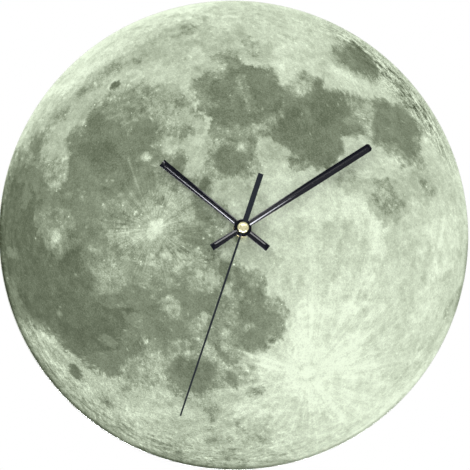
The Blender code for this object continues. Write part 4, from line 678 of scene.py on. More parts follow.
    (0.72, 3, (334,178, 344,167, 356,169, 362,178, 370,178, 388,175, 402,177, 412,168, 430,170, 438,186,
        434,199, 424,203, 414,196, 407,201, 413,206, 405,214, 396,221, 388,223, 376,213, 366,200, 362,193,
        348,195, 337,189)),
    (0.60, 2, (336,176, 345,171, 353,170, 357,178, 353,184, 342,183)),
    (0.59, 2, (374,180, 384,177, 391,182, 393,188, 401,194, 405,202, 399,210, 386,213, 378,207, 373,196)),
    (0.60, 1.5, (421,180, 428,179, 435,190, 432,195, 424,191)),
    # bright places inside the plains
    (0.73, 2, (46,150, 50,141, 50,130, 57,127, 67,125, 64,140, 64,149, 68,157, 62,161, 42,161, 41,156)),
    (0.60, 2, (43,160, 67,160, 64,172, 65,183, 58,177, 54,183, 50,187, 45,178)),
    (0.71, 2, (166,103, 174,104, 175,111, 167,111)),
    (0.71, 2, (172,118, 180,112, 188,116, 195,113, 192,122, 183,124)),
    (0.71, 2, (161,140, 172,138, 181,140, 178,148, 170,151, 161,149)),
    (0.50, 2, (179,130, 186,126, 195,125, 192,133, 188,137, 182,134)),
    (0.74, 2, (191,122, 200,118, 207,122, 211,134, 213,141, 207,150, 205,158, 203,169, 196,169, 190,177,
        181,177, 186,168, 190,160, 188,152, 181,144, 186,138, 195,134)),
    (0.83, 1.5, (194,139, 203,140, 201,146, 194,144)),
    (0.72, 1, (152,99, 158,100, 156,104, 152,104)),
    (0.73, 3, (217,184, 226,178, 240,179, 252,186, 249,196, 241,204, 226,207, 215,201, 215,190)),
    (0.72, 1.5, (252,126, 260,123, 265,128, 256,132)),
    (0.86, 1, (255,127, 259,126, 259,129)),
    (0.72, 1.5, (235,147, 239,141, 245,142, 245,149)),
    (0.88, 1, (239,146, 242,144, 243,148)),
    (0.72, 2, (258,150, 262,140, 270,137, 278,144, 288,152, 290,158, 280,162, 264,160)),
    (0.72, 1.5, (362,101, 370,102, 372,109, 364,110)),
    (0.70, 1, (350,97, 354,98, 352,104)),
    (0.82, 2, (344,136, 354,137, 356,144, 350,151, 345,146)),
    (0.70, 2, (412,110, 420,108, 426,118, 420,124)),
    (0.55, 3, (118,216, 130,208, 146,206, 152,199, 164,189, 176,185, 185,196, 193,204, 195,216, 182,222,
        178,232, 182,244, 190,252, 206,252, 223,249, 217,262, 200,262, 184,264, 172,271, 150,269, 136,267,
        131,258, 140,250, 124,247, 115,238, 112,228)),
    (0.66, 2.5, (116,232, 130,228, 140,224, 135,216, 146,211, 158,209, 164,218, 171,222, 166,232, 158,239,
        151,246, 151,251, 140,248, 122,243)),
    (0.87, 1.5, (148,222, 160,221, 163,230, 156,238, 148,236)),
    (0.97, 1, (152,232, 155,225, 158,230, 155,234)),
    (0.71, 1.2, (164,196, 169,194, 171,204, 166,209)),
    (0.70, 1, (172,203, 178,206, 175,209)),
    (0.70, 1.5, (160,254, 168,253, 173,256, 171,265, 164,259)),
    (0.70, 1.5, (177,254, 184,252, 189,260, 180,259)),
    (0.70, 1.2, (150,253, 156,255, 154,261, 151,259)),
    (0.62, 1, (101,204, 106,202, 108,206, 104,209)),
    (0.48, 3, (92,251, 101,248, 110,253, 118,261, 124,271, 122,284, 115,291, 107,286, 98,278, 94,266)),
    (0.53, 2, (96,264, 104,258, 102,253, 109,258, 121,268, 122,273, 120,281, 123,286, 117,284, 98,279)),
    (0.60, 2, (103,270, 112,268, 118,271, 118,278, 119,286, 108,281, 103,277)),
    (0.61, 1, (88,248, 94,249, 97,254, 91,253)),
    (0.48, 2, (34,222, 44,216, 50,210, 70,212, 74,226, 66,238, 60,247, 52,251, 48,244, 46,230)),
    (0.52, 1.5, (49,226, 55,225, 58,232, 61,238, 57,246, 52,249, 50,240)),
    (0.62, 1.2, (52,235, 58,233, 60,238, 56,243, 52,242)),
    (0.60, 2, (184,278, 190,270, 200,265, 208,265, 219,278, 221,287, 210,291, 196,291, 188,283)),
    (0.72, 1.2, (195,270, 199,268, 201,278, 196,276)),
    (0.73, 1.5, (205,272, 214,274, 218,284, 212,287, 206,281)),
    (0.70, 1, (201,264, 206,264, 205,269)),
    (0.60, 1.5, (221,282, 232,285, 234,299, 222,293)),
    (0.72, 1.2, (224,286, 230,284, 231,293, 226,293)),
    (0.54, 1.5, (160,300, 170,295, 177,302, 179,313, 176,319, 167,314, 162,306)),
    (0.73, 1.2, (166,306, 171,302, 175,306, 170,312, 167,311)),
    (0.59, 1.5, (195,320, 202,311, 209,318, 209,329, 202,335, 196,327)),
    (0.72, 1.2, (200,316, 206,315, 208,324, 204,329, 201,322)),
    (0.60, 1.5, (217,331, 228,329, 233,336, 226,341, 217,339)),
    (0.73, 1, (221,332, 227,331, 229,335, 224,338)),
    (0.44, 2.5, (122,264, 136,261, 152,266, 157,276, 147,286, 130,282)),
    (0.61, 1.2, (183,341, 188,339, 191,344, 186,347)),
    (0.61, 1.2, (169,342, 176,345, 173,350)),
    (0.64, 1.5, (190,352, 198,345, 199,355, 194,359)),
    (0.60, 1.5, (118,363, 126,365, 126,373, 119,371)),
    (0.60, 1, (141,156, 146,152, 151,155, 148,161, 142,160)),
    (0.60, 2, (212,205, 228,206, 237,214, 232,226, 216,233, 213,222)),
    (0.72, 1, (221,229, 227,226, 228,230, 222,233)),
    (0.76, 2, (219,250, 228,244, 237,243, 234,257, 226,259)),
    (0.73, 3, (237,246, 248,241, 258,252, 270,252, 278,262, 276,276, 270,280, 262,268, 252,260, 244,267,
        236,258)),
    (0.34, 1, (67,366, 72,364, 79,372, 81,377, 78,380, 71,376)),
    (0.50, 2, (140,282, 146,290, 160,292, 156,284)),
    (0.49, 1.5, (150,292, 155,292, 156,300, 151,300)),
    (0.41, 1.2, (96,335, 104,334, 115,344, 112,348, 102,342)),
    (0.41, 1, (56,312, 60,309, 63,315, 59,318)),
    (0.41, 1, (121,311, 126,312, 128,319, 122,320)),
    (0.41, 1.5, (6,254, 9,248, 16,249, 17,258, 8,260)),
    (0.47, 1.5, (78,192, 85,191, 86,202, 80,202)),
    (0.47, 1.2, (64,194, 72,192, 72,199, 65,200)),
    (0.47, 1.2, (116,194, 123,192, 123,197, 118,197)),
    (0.47, 1.2, (124,156, 131,157, 130,162, 125,161)),
    (0.40, 2, (122,316, 134,311, 150,316, 162,322, 184,322, 192,332, 190,340, 176,338, 160,336, 146,337,
        138,346, 128,350, 120,340)),
    (0.40, 2, (90,294, 104,295, 118,291, 128,284, 140,287, 152,291, 150,300, 146,310, 136,314, 122,306,
        108,304, 96,301)),
    (0.47, 2, (208,118, 216,116, 222,126, 222,138, 214,140, 209,130)),
    (0.56, 2, (378,181, 388,177, 396,184, 400,194, 403,203, 396,207, 386,204, 379,196)),
    (0.66, 2, (158,90, 168,88, 173,96, 168,102, 160,99)),
    (0.50, 2, (290,158, 300,159, 312,162, 310,169, 298,171, 290,166)),
    (0.49, 1, (100,202, 136,201, 140,206, 120,209, 108,208)),
)


# %% Painting
LAND_TONE = 0.84                          # where no shape lies
MARGIN = 14                               # how far past its corners a shape may wander
STEADY = 20                               # a shape smaller than this wanders less


def painted(flat, shift, jag):
    """From back to front, each shape covers what lies under it as far as the point is inside it."""
    tone = np.full(len(flat), LAND_TONE)
    for value, soft, corners in PAINT:
        corners = np.reshape(corners, (-1, 2))
        low, high = np.sort(on_disc((corners.min(0) - MARGIN, corners.max(0) + MARGIN)), 0)
        near = np.flatnonzero(((flat > low) & (flat < high)).all(1))
        wander = min(1.0, np.ptp(corners, 0).max() / STEADY)
        reach = inside_by(flat[near] + wander * shift[near], corners)
        reach += wander * (3 + 2 * soft) * jag[near]
        tone[near] += (value - tone[near]) * step(-0.6 * soft, 0.6 * soft, reach)
    return tone


# %% [markdown]
# ## Rays
# A young crater throws bright dust in long straight jets. Seen round its middle, the pattern is
# noise that changes fast with the angle and slowly with the distance. The largest jets are drawn
# one by one as beams along great circles, which is how thrown dust really flies.

# %% Splashes and beams
def splash(points, x, y, core, reach, strength, jets, seed):
    """Jets round one place: noise in (cos, sin, distance) that fades away, and a bright heart."""
    middle = on_ball(on_disc((x, y)))
    east = np.cross((0, 1, 0), middle)
    east /= np.linalg.norm(east)
    north = np.cross(middle, east)
    light = np.zeros(len(points))
    near = np.flatnonzero(points @ middle > np.cos(4 * reach / SHEET_RADIUS))
    right, up = points[near] @ east, points[near] @ north
    away = np.arccos(np.clip(points[near] @ middle, -1, 1)) * SHEET_RADIUS
    angle = np.arctan2(up, right)
    jet = 0.0
    for layer, weight in enumerate((0.55, 0.50, 0.45)):
        turns = jets * 2 ** layer
        along = away / reach * 1.4 * 1.6 ** layer
        where = np.stack((np.cos(angle) * turns, np.sin(angle) * turns, along), -1)
        jet = jet + weight * noise(where, 1.0, seed + layer)
    patchy = noise(points[near], 0.045, seed) + 0.7 * noise(points[near], 0.018, seed + 1)
    apart = step(0.0, 8.0 * core, away)
    plume = np.clip(0.75 - 0.2 * apart + apart * (0.9 * jet + 0.35 * patchy), 0, 1.6)
    plume *= np.exp(-(away / reach) ** 1.4)
    heart = np.exp(-(away / core) ** 2) * (1 + 0.45 * patchy)
    light[near] = strength * np.maximum(heart, plume * step(0.2 * core, 1.2 * core, away))
    return light


def beam(points, start, end, width, strength, seed):
    """A great circle's band between two places, patchy along its length and fading to its end."""
    a, b = on_ball(on_disc(start)), on_ball(on_disc(end))
    pole = np.cross(a, b)
    pole /= np.linalg.norm(pole)
    ahead = np.cross(pole, a)
    length = np.arctan2(b @ ahead, b @ a)
    along = np.arctan2(points @ ahead, points @ a) / length
    off = np.abs(points @ pole) * SHEET_RADIUS / (width * (0.6 + 0.8 * np.clip(along, 0, 1)))
    patchy = 0.65 + 0.5 * noise(np.stack((along * 9, 0 * along, 0 * along), -1), 1.0, seed)
    return strength * np.exp(-off ** 2) * step(0.0, 0.08, along) * (1 - step(0.55, 1.0, along)) * patchy


VEIL = 306, 374, 1.0, 150.0, 0.13, 12.0   # x, y, core, reach, strength, jets
SPLASHES = (
    # the same six numbers
    (308, 372, 5.0, 46.0, 0.26, 7.0), (311, 366, 26.0, 30.0, 0.15, 5.0),
    (155, 229, 3.4, 38.0, 0.36, 9.0), (110, 277, 3.0, 20.0, 0.22, 5.0),
    (55.5, 238, 1.6, 9.0, 0.40, 4.0), (100, 186, 1.0, 16.0, 0.14, 3.0), (52, 196, 1.0, 12.0, 0.12, 3.0),
    (343, 74, 2.5, 8.0, 0.22, 3.0), (238, 126, 2.0, 4.0, 0.28, 3.0), (131, 194, 1.8, 4.0, 0.30, 3.0),
    (295, 166, 1.8, 3.5, 0.30, 3.0), (375, 316, 5.0, 12.0, 0.10, 5.0), (436, 262, 4.0, 16.0, 0.12, 5.0),
    (144, 158, 3.4, 4.0, 0.34, 3.0), (60, 314, 2.0, 4.0, 0.24, 2.0), (188, 24, 4.0, 14.0, 0.10, 4.0),
    (240, 146, 3.0, 6.0, 0.20, 3.0), (427, 137, 3.0, 7.0, 0.14, 3.0))
BEAMS = (
    # from, to, half width, strength
    ((302, 369), (222, 344), 1.6, 0.30), ((300, 373), (236, 357), 1.4, 0.28),
    ((310, 366), (384, 212), 3.2, 0.15), ((307, 380), (308, 442), 1.0, 0.17),
    ((312, 376), (352, 430), 3.0, 0.15), ((300, 366), (262, 258), 3.0, 0.08),
    ((314, 370), (400, 356), 3.0, 0.10), ((318, 366), (400, 300), 3.4, 0.10),
    ((306, 364), (300, 280), 4.0, 0.09), ((304, 378), (250, 420), 2.4, 0.07),
    ((312, 362), (340, 260), 3.0, 0.08), ((420, 300), (446, 208), 3.0, 0.14),
    ((234, 66), (252, 122), 1.3, 0.13), ((127, 156), (142, 200), 0.9, 0.22),
    ((133, 178), (144, 204), 0.8, 0.16), ((56, 240), (44, 268), 1.4, 0.18),
    ((156, 228), (118, 176), 1.6, 0.12), ((156, 228), (214, 286), 3.0, 0.12),
    ((156, 228), (100, 236), 1.8, 0.14), ((156, 228), (188, 180), 2.0, 0.10),
    ((95, 108), (103, 104), 1.0, 0.3), ((148, 115), (154, 123), 0.9, 0.4),
    ((96, 338), (112, 348), 0.8, 0.2), ((343, 74), (376, 92), 2.2, 0.12))


# %% [markdown]
# ## Craters
# Small craters are far more common than large ones. Their sizes follow a power law: half the size,
# four to six times the number. A generator with a fixed seed scatters them on the ball. Each one
# adds a bright rim and a floor of another tone. The few that everybody finds with binoculars are
# listed one by one.

# %% Stamp craters on the ball
RINGS_BY_HAND = (
    # x, y, radius, rim, floor
    (308, 372, 10.0, -0.06, 0.03), (116, 85, 9.0, 0.05, -0.02), (114, 85.3, 6.2, 0.05, 0.0),
    (163, 130, 5.0, 0.10, -0.04), (272, 341, 5.0, 0.16, -0.06), (174, 349, 6.0, 0.10, 0.0),
    (247, 327, 2.4, 0.22, -0.1), (400, 159, 4.0, 0.18, -0.04), (325, 163, 2.6, 0.16, -0.06),
    (296, 92, 3.2, 0.12, -0.05), (228, 366, 2.4, 0.14, -0.08), (213, 360, 2.4, 0.14, -0.06),
    (138, 325, 3.6, 0.16, 0.0), (25, 274, 2.6, 0.16, -0.06), (160, 356, 2.4, 0.20, -0.05),
    (385, 161, 3.0, 0.10, -0.06), (78, 136, 3.0, 0.07, 0.0), (186, 58, 4.4, 0.10, -0.03),
    (174, 48, 4.0, 0.08, -0.03), (252, 303, 2.8, 0.10, -0.05), (281, 310, 3.0, 0.10, -0.06),
    (210, 390, 3.4, 0.10, -0.05), (150, 107, 2.0, 0.12, 0.0), (231, 313, 2.2, 0.12, 0.0),
    (268, 310, 2.0, 0.14, 0.0))
BRIGHT_DOTS = (
    (107, 98), (110, 100), (114, 97), (119, 98), (123, 98), (128, 103), (101, 103), (106, 181),
    (112, 181), (86, 228), (60, 177), (64, 178), (82, 198), (103, 205), (358, 69), (352, 63),
    (338, 103), (341, 98), (390, 204), (388, 127), (126, 366), (118, 306), (121, 258), (94, 250),
    (160, 290), (152, 296), (144, 288), (184, 262), (205, 262), (127, 349), (117, 338), (124, 331),
    (231, 284), (243, 290), (257, 285), (237, 313), (246, 327), (197, 331), (222, 334), (152, 96),
    (156, 133), (248, 86), (262, 108), (302, 113), (310, 133), (328, 104), (76, 275), (60, 308),
    (36, 310), (140, 321), (171, 330), (188, 314), (178, 285), (71, 349))
DOT_RADIUS, DOT_LIGHT = 0.0065, 0.24      # on a ball of radius one, and how much tone it adds


def stamp(points, tone, craters):
    """Adds a rim, which is a ring of light one radius out, and a floor inside it."""
    for middle, radius, rim, floor in craters:
        near = np.flatnonzero(points @ middle > np.cos(1.9 * radius))
        away = np.arccos(np.clip(points[near] @ middle, -1, 1)) / radius
        tone[near] += rim * np.exp(-((away - 1) / 0.24) ** 2) + floor * (1 - step(0.6, 1.0, away))


def scattered(count, smallest, largest, seed):
    """Places spread evenly on the visible half, and radii by a power law between two limits."""
    draw = np.random.default_rng(seed)
    height, turn, size, tint = draw.random((4, count))
    height = height * 0.995 + 0.005
    wide = np.sqrt(1 - height ** 2)
    middles = np.stack((wide * np.cos(turn * 2 * np.pi), wide * np.sin(turn * 2 * np.pi), height), -1)
    radii = smallest * (1 - size * (1 - (smallest / largest) ** 2)) ** -0.5
    return middles, radii, tint


# %% Coasts and mottling
def coasts(flat, points):
    """The painted map, its edges pushed about by noise, and how far each point is bare highland."""
    shift = np.stack([fractal(points, 0.10, octaves=5, seed=seed, rough=0.66) for seed in (11, 22)], -1)
    shift *= 3.0 / SHEET_RADIUS * np.sqrt(points[:, 2:])
    tone = painted(flat, shift, fractal(points, 0.10, octaves=6, seed=61, rough=0.86)) - 0.03
    return tone, step(0.36, 0.72, tone)


def mottled(points, ground):
    """Noise that is hilly on the highlands, soft on the plains and strongest along the coasts."""
    clouds = fractal(points, 0.22, octaves=6, seed=5, rough=0.72)
    speckle = fractal(points, 0.040, octaves=3, seed=91, rough=0.9)
    hills = 1 - 2 * np.abs(fractal(points, 0.055, octaves=3, seed=43, rough=0.8))
    plains = fractal(points, 0.10, octaves=5, seed=77, rough=0.9)
    shore = 4 * ground * (1 - ground)
    tone = ground * (0.030 * clouds + 0.085 * speckle + 0.045 * hills)
    tone += (1 - ground) * (0.070 * plains + 0.055 * speckle)
    return tone + shore * (0.150 * speckle + 0.08 * clouds), shore


# %% Dust and craters
def dusted(points, tone, ground):
    """Adds a wide veil over the highlands, then every splash and every beam."""
    tone += ground * (splash(points, *VEIL, seed=250) - 0.045)
    for seed, (x, y, *shape) in enumerate(SPLASHES):
        tone += splash(points, x, y, *shape, 200 + 2 * seed) * (1.05 - tone).clip(0.15, 1)
    for seed, (start, end, *shape) in enumerate(BEAMS):
        tone += beam(points, start, end, *shape, 300 + seed)
    return np.minimum(tone, 0.99)


def cratered(points, tone, ground, shore, relief):
    """Adds the listed craters, the bright dots, and two scatters: bowls and bright specks."""
    stamp(points, tone, [(on_ball(on_disc((x, y))), radius / SHEET_RADIUS, rim, floor)
                         for x, y, radius, rim, floor in RINGS_BY_HAND])
    stamp(points, tone, [(on_ball(on_disc(spot)), DOT_RADIUS, 0.0, DOT_LIGHT) for spot in BRIGHT_DOTS])
    middles, radii, tint = scattered(count=2200, smallest=0.008, largest=0.045, seed=8)
    bowls_seen = np.zeros(len(tone))
    stamp(points, bowls_seen, zip(middles, radii, 0.02 + 0.06 * tint ** 2, -0.05 + 0.06 * tint))
    middles, radii, tint = scattered(count=2600, smallest=0.0055, largest=0.009, seed=9)
    specks = np.zeros(len(tone))
    stamp(points, specks, zip(middles, radii, 0 * tint, 0.03 + 0.30 * tint ** 5))
    tone += bowls_seen * (0.35 + 0.65 * ground + 1.6 * relief * ground)
    return tone + specks * (0.35 + 0.8 * shore)


# %% The tone of every point
def moon_tone(right, up):
    """For points of the disc: the tone from 0 to 1, the share of bare highland, and the relief."""
    flat = np.stack((right, up), -1)
    points = on_ball(flat)
    # shares: how near the edge, how far to the lower left, and how far into the upper right edge
    limb = np.hypot(right, up)
    low = step(0.15, 0.85, -(right + up) / 1.414)
    north_east = step(0.85, 0.95, 0.74 * right + 0.67 * up)
    relief = step(0.78, 0.97, limb) * (0.08 + 0.92 * north_east) + 0.35 * low
    tone, ground = coasts(flat, points)
    mottling, shore = mottled(points, ground)
    tone = dusted(points, tone + mottling, ground)
    tone = cratered(points, tone, ground, shore, relief)
    # the rim is pale with a dark outline, which is broken at the top and at the lower right
    outline = step(0.1, 0.4, -up) * (1 - 0.7 * step(0.68, 0.76, right))
    outline += step(0.90, 0.97, right) * step(-0.1, 0.1, -up)
    outline += 0.6 * step(0.90, 0.97, -right) * step(-0.3, 0.0, -up)
    tone -= 0.04 * step(0.86, 0.93, limb) * north_east
    tone += step(0.965, 1.0, limb) * (0.10 - 0.26 * low - 0.10 * north_east)
    tone -= 0.42 * step(0.984, 1.0, limb) * outline.clip(0, 1)
    return tone, ground, relief


# %% Print the Moon on the film
back, front = depth("dial_film")
points, faces = film(back, front)
across = (points[:, :2] - DISC_MIDDLE) / MOON_RADIUS
inks = dict(zip(("tone", "ground", "relief"), moon_tone(*across.T)))
moon = solid("moon_print_film", points, faces)
for name, values in inks.items():
    layer = moon.data.attributes.new(name, "FLOAT", "POINT")
    layer.data.foreach_set("value", values.astype(np.float32))
print("tone from", round(float(inks["tone"].min()), 2), "to", round(float(inks["tone"].max()), 2))

# %% [markdown]
# ## The ink
# The points of the film are a millimetre apart, and ink can hold more than that. The finish adds
# what is finer: a grain, hairs of dust round the young craters and a scatter of tiny bowls. All are
# read on the ball that the print shows, so they crowd together towards its edge. There a coarser
# noise, squeezed in one direction, also gives the thin arcs of crater walls that are seen edge on.

# %% Hairs of dust
DUSTY = (
    # place on the sheet, hairs to the turn, reach on a ball of radius one, strength
    ((155, 229), 30.0, 0.34, 0.62), ((110, 275), 16.0, 0.12, 0.6))
GREAT_RAYS = (308, 372), 50.0, 0.9


def hairs(finish, ball, spot, turns, reach):
    """Noise round one place: quick with the angle, slow with the distance, and gone at the reach."""
    right, up, out = (float(v) for v in on_ball(on_disc(spot)))
    middle = (right, out, up)
    away = finish.vector("SUBTRACT", ball, middle)
    length = finish.vector("LENGTH", away, output=1)
    wheel = finish.vector("SCALE", finish.vector("NORMALIZE", away), Scale=turns)
    where = finish.vector("ADD", wheel, finish.vector("SCALE", middle, Scale=length * 20.0))
    return (finish.grain(1.0, 2, where, 0.7) - 0.5) * (1 - finish.between(0.1 * reach, reach, length))


# %% Noise and bowls
BOWLS = (
    # how many to the radius, their size in their cell, how bright
    (24.0, 0.14, 0.28), (46.0, 0.20, 0.24), (92.0, 0.26, 0.16))


def ball_of(finish):
    """Right, in and up on a ball of radius one, from the place on the disc that shows it."""
    x, _, z = finish.split(finish.place())
    right, up = ((v - float(m) * MM) / (MOON_RADIUS * MM) for v, m in zip((x, z), DISC_MIDDLE))
    height = (1 - right * right - up * up).over(0.0) ** 0.5
    return height, finish.node("ShaderNodeCombineXYZ", None, {"X": right, "Y": height, "Z": up})


def bowls(finish, ball, shore):
    """Round spots in some cells of a Voronoi pattern: its second output chooses the cells."""
    light = 0.0
    for scale, radius, bright in BOWLS:
        near = finish.node("ShaderNodeTexVoronoi", {"feature": "F1"}, {"Vector": ball, "Scale": scale})
        chosen = finish.between(0.70, 0.76, Value(finish, near.socket.node.outputs[1]))
        light = (1 - finish.between(radius * 0.4, radius, near)) * chosen * bright + light
    return light * (0.4 + 1.6 * shore)


def green_inks(finish, tone):
    """A ramp of nine inks. Green rises evenly with the tone, and red and blue stay a little below."""
    ramp = finish.node("ShaderNodeValToRGB", None, {"Fac": tone})
    stops = ramp.socket.node.color_ramp.elements
    for share in np.linspace(0, 1, 9)[1:-1]:
        stops.new(share)
    for stop, share in zip(stops, np.linspace(0, 1, 9)):
        green = 60 + 190 * share
        stop.position = share
        stop.color = (*screen(green - 8.5 - 4 * share, green, green - 20.5 - 4 * share), 1.0)
    return ramp


# %% Ink
def luminous_print():
    """The tone from the points plus fine grain, turned into pale green inks."""
    finish = Finish("moon_print")
    tone, ground, relief = (finish.node("ShaderNodeAttribute", {"attribute_name": name}, output=2)
                            for name in inks)
    height, ball = ball_of(finish)
    shore = 4 * ground * (1 - ground)
    steep = 1.2 * relief * ground
    grain = finish.grain(150, 3, ball, 0.9) - 0.5
    rugged = finish.grain(62, 4, ball, 0.9) - 0.5
    value = tone - 0.02 + grain * (0.64 + 0.30 * shore + steep) + rugged * (0.10 + 0.35 * shore + steep)
    arcs = finish.grain(14, 4, finish.vector("MULTIPLY", ball, (1.0, 1.8, 1.0)), 0.85) - 0.5
    near_rim = finish.between(0.14, 0.28, height) * (1 - finish.between(0.30, 0.55, height))
    value = value + arcs * near_rim * (0.04 + 3.8 * relief) * (0.3 + 0.7 * ground)
    for spot, turns, reach, strength in DUSTY:
        value = value + hairs(finish, ball, spot, turns, reach) * strength
    value = value + hairs(finish, ball, *GREAT_RAYS) * ground * 0.22 + bowls(finish, ball, shore)
    return finish.surface(Base_Color=green_inks(finish, value), Specular_IOR_Level=0.03,
                          Roughness=0.52 + 0.1 * finish.grain(420, 2))


dress(moon, luminous_print(), "clock_body", "moon_print", "dial_film")

# %% [markdown]
# ## Black lacquer
# The hands are pressed from thin sheet and lacquered blue-black. Lacquer is a dark colour under a
# clear gloss coat: the coat does the shining. A faint, wide ripple in the surface keeps the
# reflections from looking drawn with a ruler. The second hand has the same paint, but matt.

# %% Lacquers
def lacquer(name, colour, roughness, coat):
    """The paint under the coat hardly shines, and the coat mirrors sharply where there is one."""
    finish = Finish(name)
    cloud, ripple = finish.grain(900, 3), finish.grain(140, 2)
    return finish.surface(
        Base_Color=finish.mix(cloud, colour, [v * 1.5 for v in colour]),
        Roughness=roughness + 0.08 * cloud, Coat_Weight=coat, Coat_Roughness=0.035,
        Coat_IOR=1.3, Specular_IOR_Level=0.008, Normal=finish.bump(ripple, 0.00002, 0.3))


HAND_BLACK = lacquer("hand_lacquer", screen(12, 14, 22), roughness=0.35, coat=1.0)
NEEDLE_BLACK = lacquer("second_hand_lacquer", screen(36, 40, 46), roughness=0.5, coat=0.0)
print("lacquers:", HAND_BLACK.name, NEEDLE_BLACK.name)

# %% [markdown]
# ## The hands
# A pressed hand is a flat blade with a folded rib down its middle. The rib makes the thin sheet
# stiff, and its two sloping sides are what flash when the light is right. The blade is one section
# carried along its length: half the width, half the rib and the rib's height are lines between a
# few stations, and each row of the grid is the section at one of them.

# %% Section of a blade
def blade_section(half, rib, rise, thickness, rounding):
    """Across and up for each station: flat back, rounded edges, flat land, rib with a soft crest."""
    half, rib, rise = (v[:, None] for v in (half, rib, rise))
    turn = np.radians((0, 30, 60, 90))
    edge = half - rounding + rounding * np.cos(turn)
    edge_up = thickness - rounding + rounding * np.sin(turn)
    side = np.array((1.0, 0.9, 0.2, 0.06))
    side_up = np.array((0.0, 0.1, 0.94, 1.0))
    right = np.concatenate((half, edge, rib * side), 1)
    up = np.concatenate((0 * half, 0 * half + edge_up, thickness + rise * side_up), 1)
    return np.concatenate((right, -right[:, ::-1]), 1), np.concatenate((up, up[:, ::-1]), 1)


def blade(stations, halves, ribs, rises, thickness, steps=24, rounding=0.18):
    """The section carried along the hand, with more rows where a value changes its slope."""
    along = np.union1d(np.linspace(stations[0], stations[-1], steps), stations)
    half, rib, rise = (np.interp(along, stations, values) for values in (halves, ribs, rises))
    across, up = blade_section(half, rib, rise, thickness, rounding)
    points = np.stack((across, np.repeat(along[:, None], across.shape[1], 1), up), -1)
    return points, [grid_faces(*across.shape), end_faces(*across.shape)]


# %% Point a hand
def aimed(points, degrees, back):
    """Turns a hand drawn upwards by its angle from twelve, and lifts it to its place on the tube."""
    angle = np.radians(degrees)
    right, up, out = np.moveaxis(points, -1, 0)
    return np.stack((right * np.cos(angle) + up * np.sin(angle),
                     up * np.cos(angle) - right * np.sin(angle), out + back), -1)


# %% Sizes of the hour and minute hands
HUB = 5.6                                 # radius of the round middle
THICKNESS = 0.5
PLAY, BARREL, FLANGE = 0.1, 0.9, 1.6      # round the pipe, then the bush's two wall widths
RIB_HALF, RIB_TIP = 1.3, 0.7              # half the width of the rib at both its ends
RIB_SLOPE, TAIL_SLOPE = 0.35, 0.14        # its height for a half width of one
NO_RIB = 0.01
FADE = 3.0                                # length over which the rib ends at the tip
HANDS = {
    "hour_hand": dict(
        body="hour_hand_pipe", angle=308.8, pipe=2.5, length=66.0, tail=20.8, root=3.5,
        widths=[(66.0, 5.1)], tail_widths=(4.3, 4.3)),
    "minute_hand": dict(
        body="minute_hand_pipe", angle=57.3, pipe=1.5, length=97.0, tail=23.6, root=3.4,
        widths=[(52.0, 5.2), (95.9, 5.2), (97.0, 3.0)], tail_widths=(3.4, 4.6)),
}


# %% Press them
def pressed_hand(name, body, angle, pipe, length, tail, root, widths, tail_widths):
    """Blade, tail and hub as three closed shells that meet inside the hub."""
    hole = pipe + PLAY + BARREL + PLAY
    start = pipe + PLAY + FLANGE + 0.5    # the rib begins just outside the bush
    full = start + 1.2
    stations = sorted({hole + 0.3, start, full, *(s for s, _ in widths[:-1]), length - FADE, length})
    width_at, width = zip((0.0, root), *widths)
    halves = np.interp(stations, width_at, width) / 2
    share = (np.array(stations) - start) / (length - FADE - start)
    ribs = RIB_HALF + (RIB_TIP - RIB_HALF) * np.clip(share, 0, 1)
    rises = RIB_SLOPE * ribs
    rises[[0, 1, -1]] = NO_RIB
    front_shell = blade(stations, halves, ribs, rises, THICKNESS)
    ends = np.array((-tail, -tail + FADE, -full, -start, -hole - 0.3))
    tail_halves = np.interp(-ends, [0, tail], tail_widths) / 2
    crest = TAIL_SLOPE * RIB_HALF
    tail_rises = [NO_RIB, crest, crest, NO_RIB, NO_RIB]
    tail_shell = blade(ends, tail_halves, [RIB_HALF] * 5, tail_rises, THICKNESS)
    hub_shell = lathe(eased(ring_outline(hole, HUB, 0, THICKNESS + 0.03), 0.15), 96)
    points, faces = joined(front_shell, tail_shell, hub_shell)
    made = solid(name + "_pressed", aimed(points, angle, depth(name)[0]), faces)
    dress(made, HAND_BLACK, body, "hand_lacquer", name)


for hand, sizes in HANDS.items():
    pressed_hand(hand, **sizes)

# %% [markdown]
# ## Bushes
# Each hand is riveted to a small flanged bush, which is pushed on its pipe. From the front only the
# flange shows, as a thin ring between one hand and the next.

# %% Two bushes
for hand, sizes in HANDS.items():
    bore = sizes["pipe"] + PLAY
    barrel, flange = bore + BARREL, bore + FLANGE
    low = depth(hand)[0] - 0.5
    seat = low + 0.5 + THICKNESS + PLAY
    outline = [(flange, seat + 0.5), (flange, seat), (barrel, seat), (barrel, low),
               (bore, low), (bore, seat + 0.5)]
    bush = solid(hand + "_collar", *lathe(eased(outline, 0.12), 72))
    dress(bush, HAND_BLACK, sizes["body"], "hand_lacquer", hand + "_bush")

# %% [markdown]
# ## The second hand
# The needle narrows from 1.4 to 1.1 mm, and the broad tail balances it so that the little motor
# doesn't have to lift it. It is flat sheet with soft edges, so the same section serves without a rib.

# %% Needle and counterweight
back, front = depth("second_hand")
sheet = front - back
EYE, TIP, TAIL = 1.9, 126.0, 36.3         # from the shaft: where the needle starts and both ends
ROUNDING = 0.1
needle = blade([EYE, TIP], halves=[0.7, 0.55], ribs=[0.3] * 2, rises=[0.03] * 2,
               thickness=sheet, rounding=ROUNDING)
weight = blade([-TAIL, -EYE], halves=[1.725] * 2, ribs=[0.8] * 2, rises=[0.03] * 2,
               thickness=sheet, steps=8, rounding=ROUNDING)
hub = lathe(eased(ring_outline(1.4, 2.8, 0, sheet + 0.02), ROUNDING), 64)
points, faces = joined(needle, weight, hub)
second = solid("second_hand_sheet", aimed(points, degrees=198.4, back=back), faces)
dress(second, NEEDLE_BLACK, "second_hand_arbor", "second_hand_lacquer", "second_hand")

